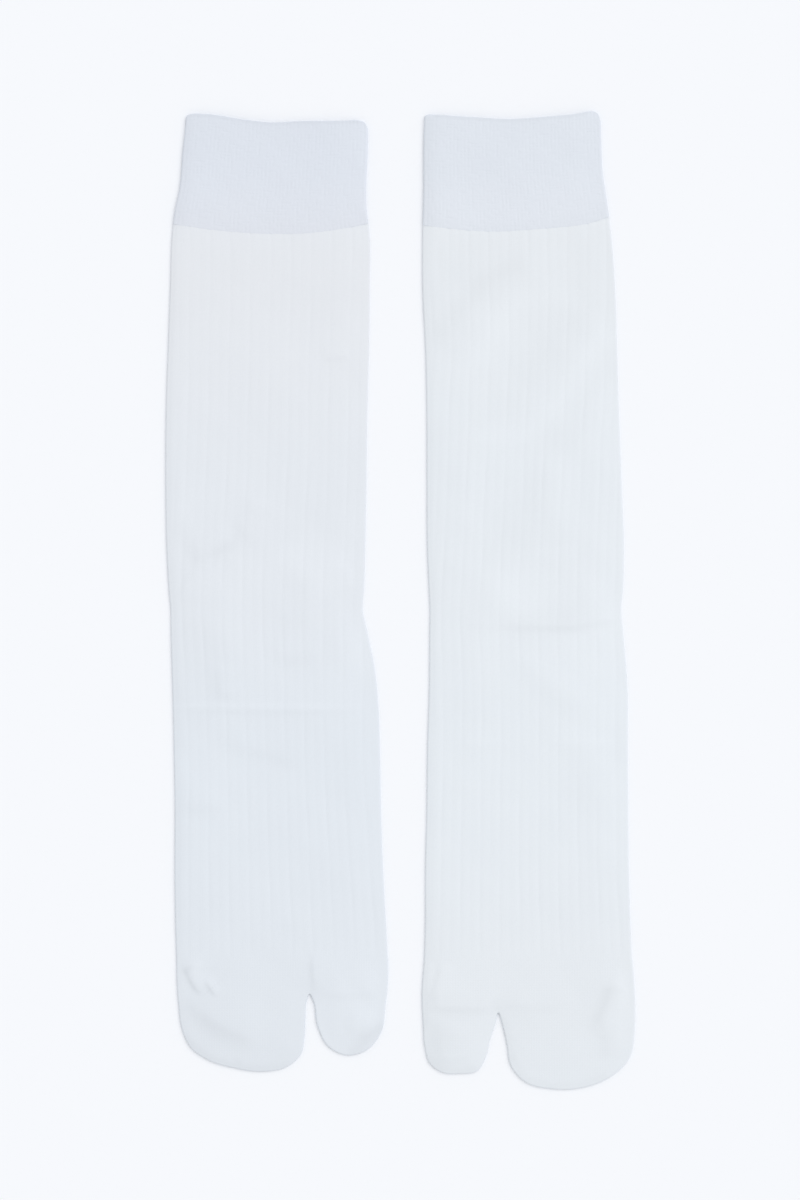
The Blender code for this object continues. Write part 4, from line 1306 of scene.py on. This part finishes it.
def heel_outline(size):
    """The pouch's outline: straight sides that narrow to the tip, with round corners."""
    x, base, tip = size["x"], size["base"], size["tip"]
    half_base, half_tip = size["base_width"] / 2, size["tip_width"] / 2
    corners = [(x - half_base, base), (x - half_tip, tip), (x + half_tip, tip), (x + half_base, base)]
    corners, line = np.array(corners), []
    neighbours = zip(np.roll(corners, 1, axis=0), corners, np.roll(corners, -1, axis=0))
    for before, corner, after in neighbours:
        start = corner + HEEL_CORNER * (before - corner) / math.dist(before, corner)
        end = corner + HEEL_CORNER * (after - corner) / math.dist(after, corner)
        for t in np.linspace(0, 1, CORNER_POINTS):
            line.append((1 - t) ** 2 * start + 2 * t * (1 - t) * corner + t * t * end)
    return np.array(line)


for name, sock in SOCKS.items():
    size = np.ptp(heel_outline(sock["heel"]), axis=0)
    print(f"{name} heel: {size[0]:.0f} mm wide, {size[1]:.0f} mm long")

# %% [markdown]
# ## The heel pouch
# The two layers of the folded pouch lie on each other, with a fine line between their round edges. It
# could be two sheets, but one solid with a grooved edge looks the same and can't cut through itself. The
# profile below is the same all round, so it is written down once and each ring is the outline moved
# inward by it.

# %% Fold the two heels
LAYER = 0.6
HEEL_RIM = 0.3  # how far the rounded rim of a layer draws in
HEEL_GROOVE = 0.35
HEEL_NET = 2.0
HEEL_PROFILE = (  # height and draw-in of each ring, in layers and in millimetres
    (0.0, HEEL_RIM), (0.12, 0.12), (0.3, 0.0), (0.7, 0.02), (0.9, 0.15), (1.0, HEEL_GROOVE),
    (1.1, 0.15), (1.3, 0.02), (1.7, 0.0), (1.88, 0.12), (2.0, HEEL_RIM),
)


def heel(sock):
    """The folded pouch, its two layers one solid."""
    line = heel_outline(sock["heel"])
    count, vertices, faces = len(line), [], []
    for row, (layers, depth) in enumerate(HEEL_PROFILE):
        vertices += [(x, y, layers * LAYER) for x, y in inset(line, depth, closed=True)]
        if row:
            a = (row - 1) * count
            b = a + count
            faces += [(a + i, a + (i + 1) % count, b + (i + 1) % count, b + i) for i in range(count)]
    net, triangles = fill(inset(line, HEEL_RIM, closed=True), HEEL_NET)
    for first, z, way in ((0, 0.0, -1), (len(vertices) - count, 2 * LAYER, 1)):
        number = [*range(first, first + count), *range(len(vertices), len(vertices) + len(net) - count)]
        vertices += [(x, y, z) for x, y in net[count:]]
        faces += [[number[i] for i in triangle][::way] for triangle in triangles]
    return vertices, faces


for name, sock in SOCKS.items():
    vertices, faces = heel(sock)
    cloth = np.array(vertices)[:, :2]
    piece = add_piece(f"{name}_heel_cloth", vertices, faces, cloth, jersey)

# %% [markdown]
# ## The table
# The table is matt white card, so it takes soft shadows and throws no reflection of the lamp. It is
# large enough to fill every view, and lies just under the socks, so that no face lies on a face. A
# curved backdrop would hide the far edge too, but from above it is not needed.

# %% Lay the table
TABLE_SIZE = 12.0  # metres
TABLE_DROP = 0.05  # under the soles
CARD_ROUGHNESS, CARD_SPECULAR = 0.9, 0.1

table_mesh = bpy.data.meshes.new("table")
half = TABLE_SIZE / 2
table_corners = [(-half, -half, 0), (half, -half, 0), (half, half, 0), (-half, half, 0)]
table_mesh.from_pydata(table_corners, [], [(0, 1, 2, 3)])
table = bpy.data.objects.new("table", table_mesh)
table.location.z = -TABLE_DROP * MM
bpy.context.scene.collection.objects.link(table)
card = bpy.data.materials.new("matt_white_card")
card.use_nodes = True
card_shader = card.node_tree.nodes["Principled BSDF"]
card_shader.inputs["Base Color"].default_value = linear("#f7f9fd")
card_shader.inputs["Roughness"].default_value = CARD_ROUGHNESS
card_shader.inputs["Specular IOR Level"].default_value = CARD_SPECULAR
table_mesh.materials.append(card)
print(f"table {TABLE_SIZE:.0f} m wide, {TABLE_DROP} mm under the socks")

# %% [markdown]
# ## The light
# A broad lamp high on the right draws the ribs and leaves a soft shadow along the left of each sock. The
# white room fills the rest, so everything stays pale and the table is hardly darker than the light. A
# small lamp would draw the folds more sharply, but with hard shadows that a studio avoids.

# %% Light the pair
LAMP_PLACE = (0.84, 0.7, 1.51)  # metres; only its direction counts
LAMP_SPREAD = 50.0  # degrees
LAMP_POWER = 0.9  # watts on a square metre
ROOM_LIGHT = 0.768  # of the white all round

lamp_data = bpy.data.lights.new("lamp", "SUN")
lamp_data.angle = math.radians(LAMP_SPREAD)
lamp_data.energy = LAMP_POWER
lamp = bpy.data.objects.new("lamp", lamp_data)
lamp.location = LAMP_PLACE
lamp.rotation_euler = (-lamp.location).to_track_quat("-Z", "Y").to_euler()
bpy.context.scene.collection.objects.link(lamp)
room = bpy.data.worlds.new("room")
room.use_nodes = True
room.node_tree.nodes["Background"].inputs["Color"].default_value = (1, 1, 1, 1)
room.node_tree.nodes["Background"].inputs["Strength"].default_value = ROOM_LIGHT
bpy.context.scene.world = room
bpy.context.scene.view_settings.view_transform = "Standard"  # screen colours stay what they are
print(f"lamp {math.degrees(math.asin(LAMP_PLACE[2] / lamp.location.length)):.0f} degrees over the table")
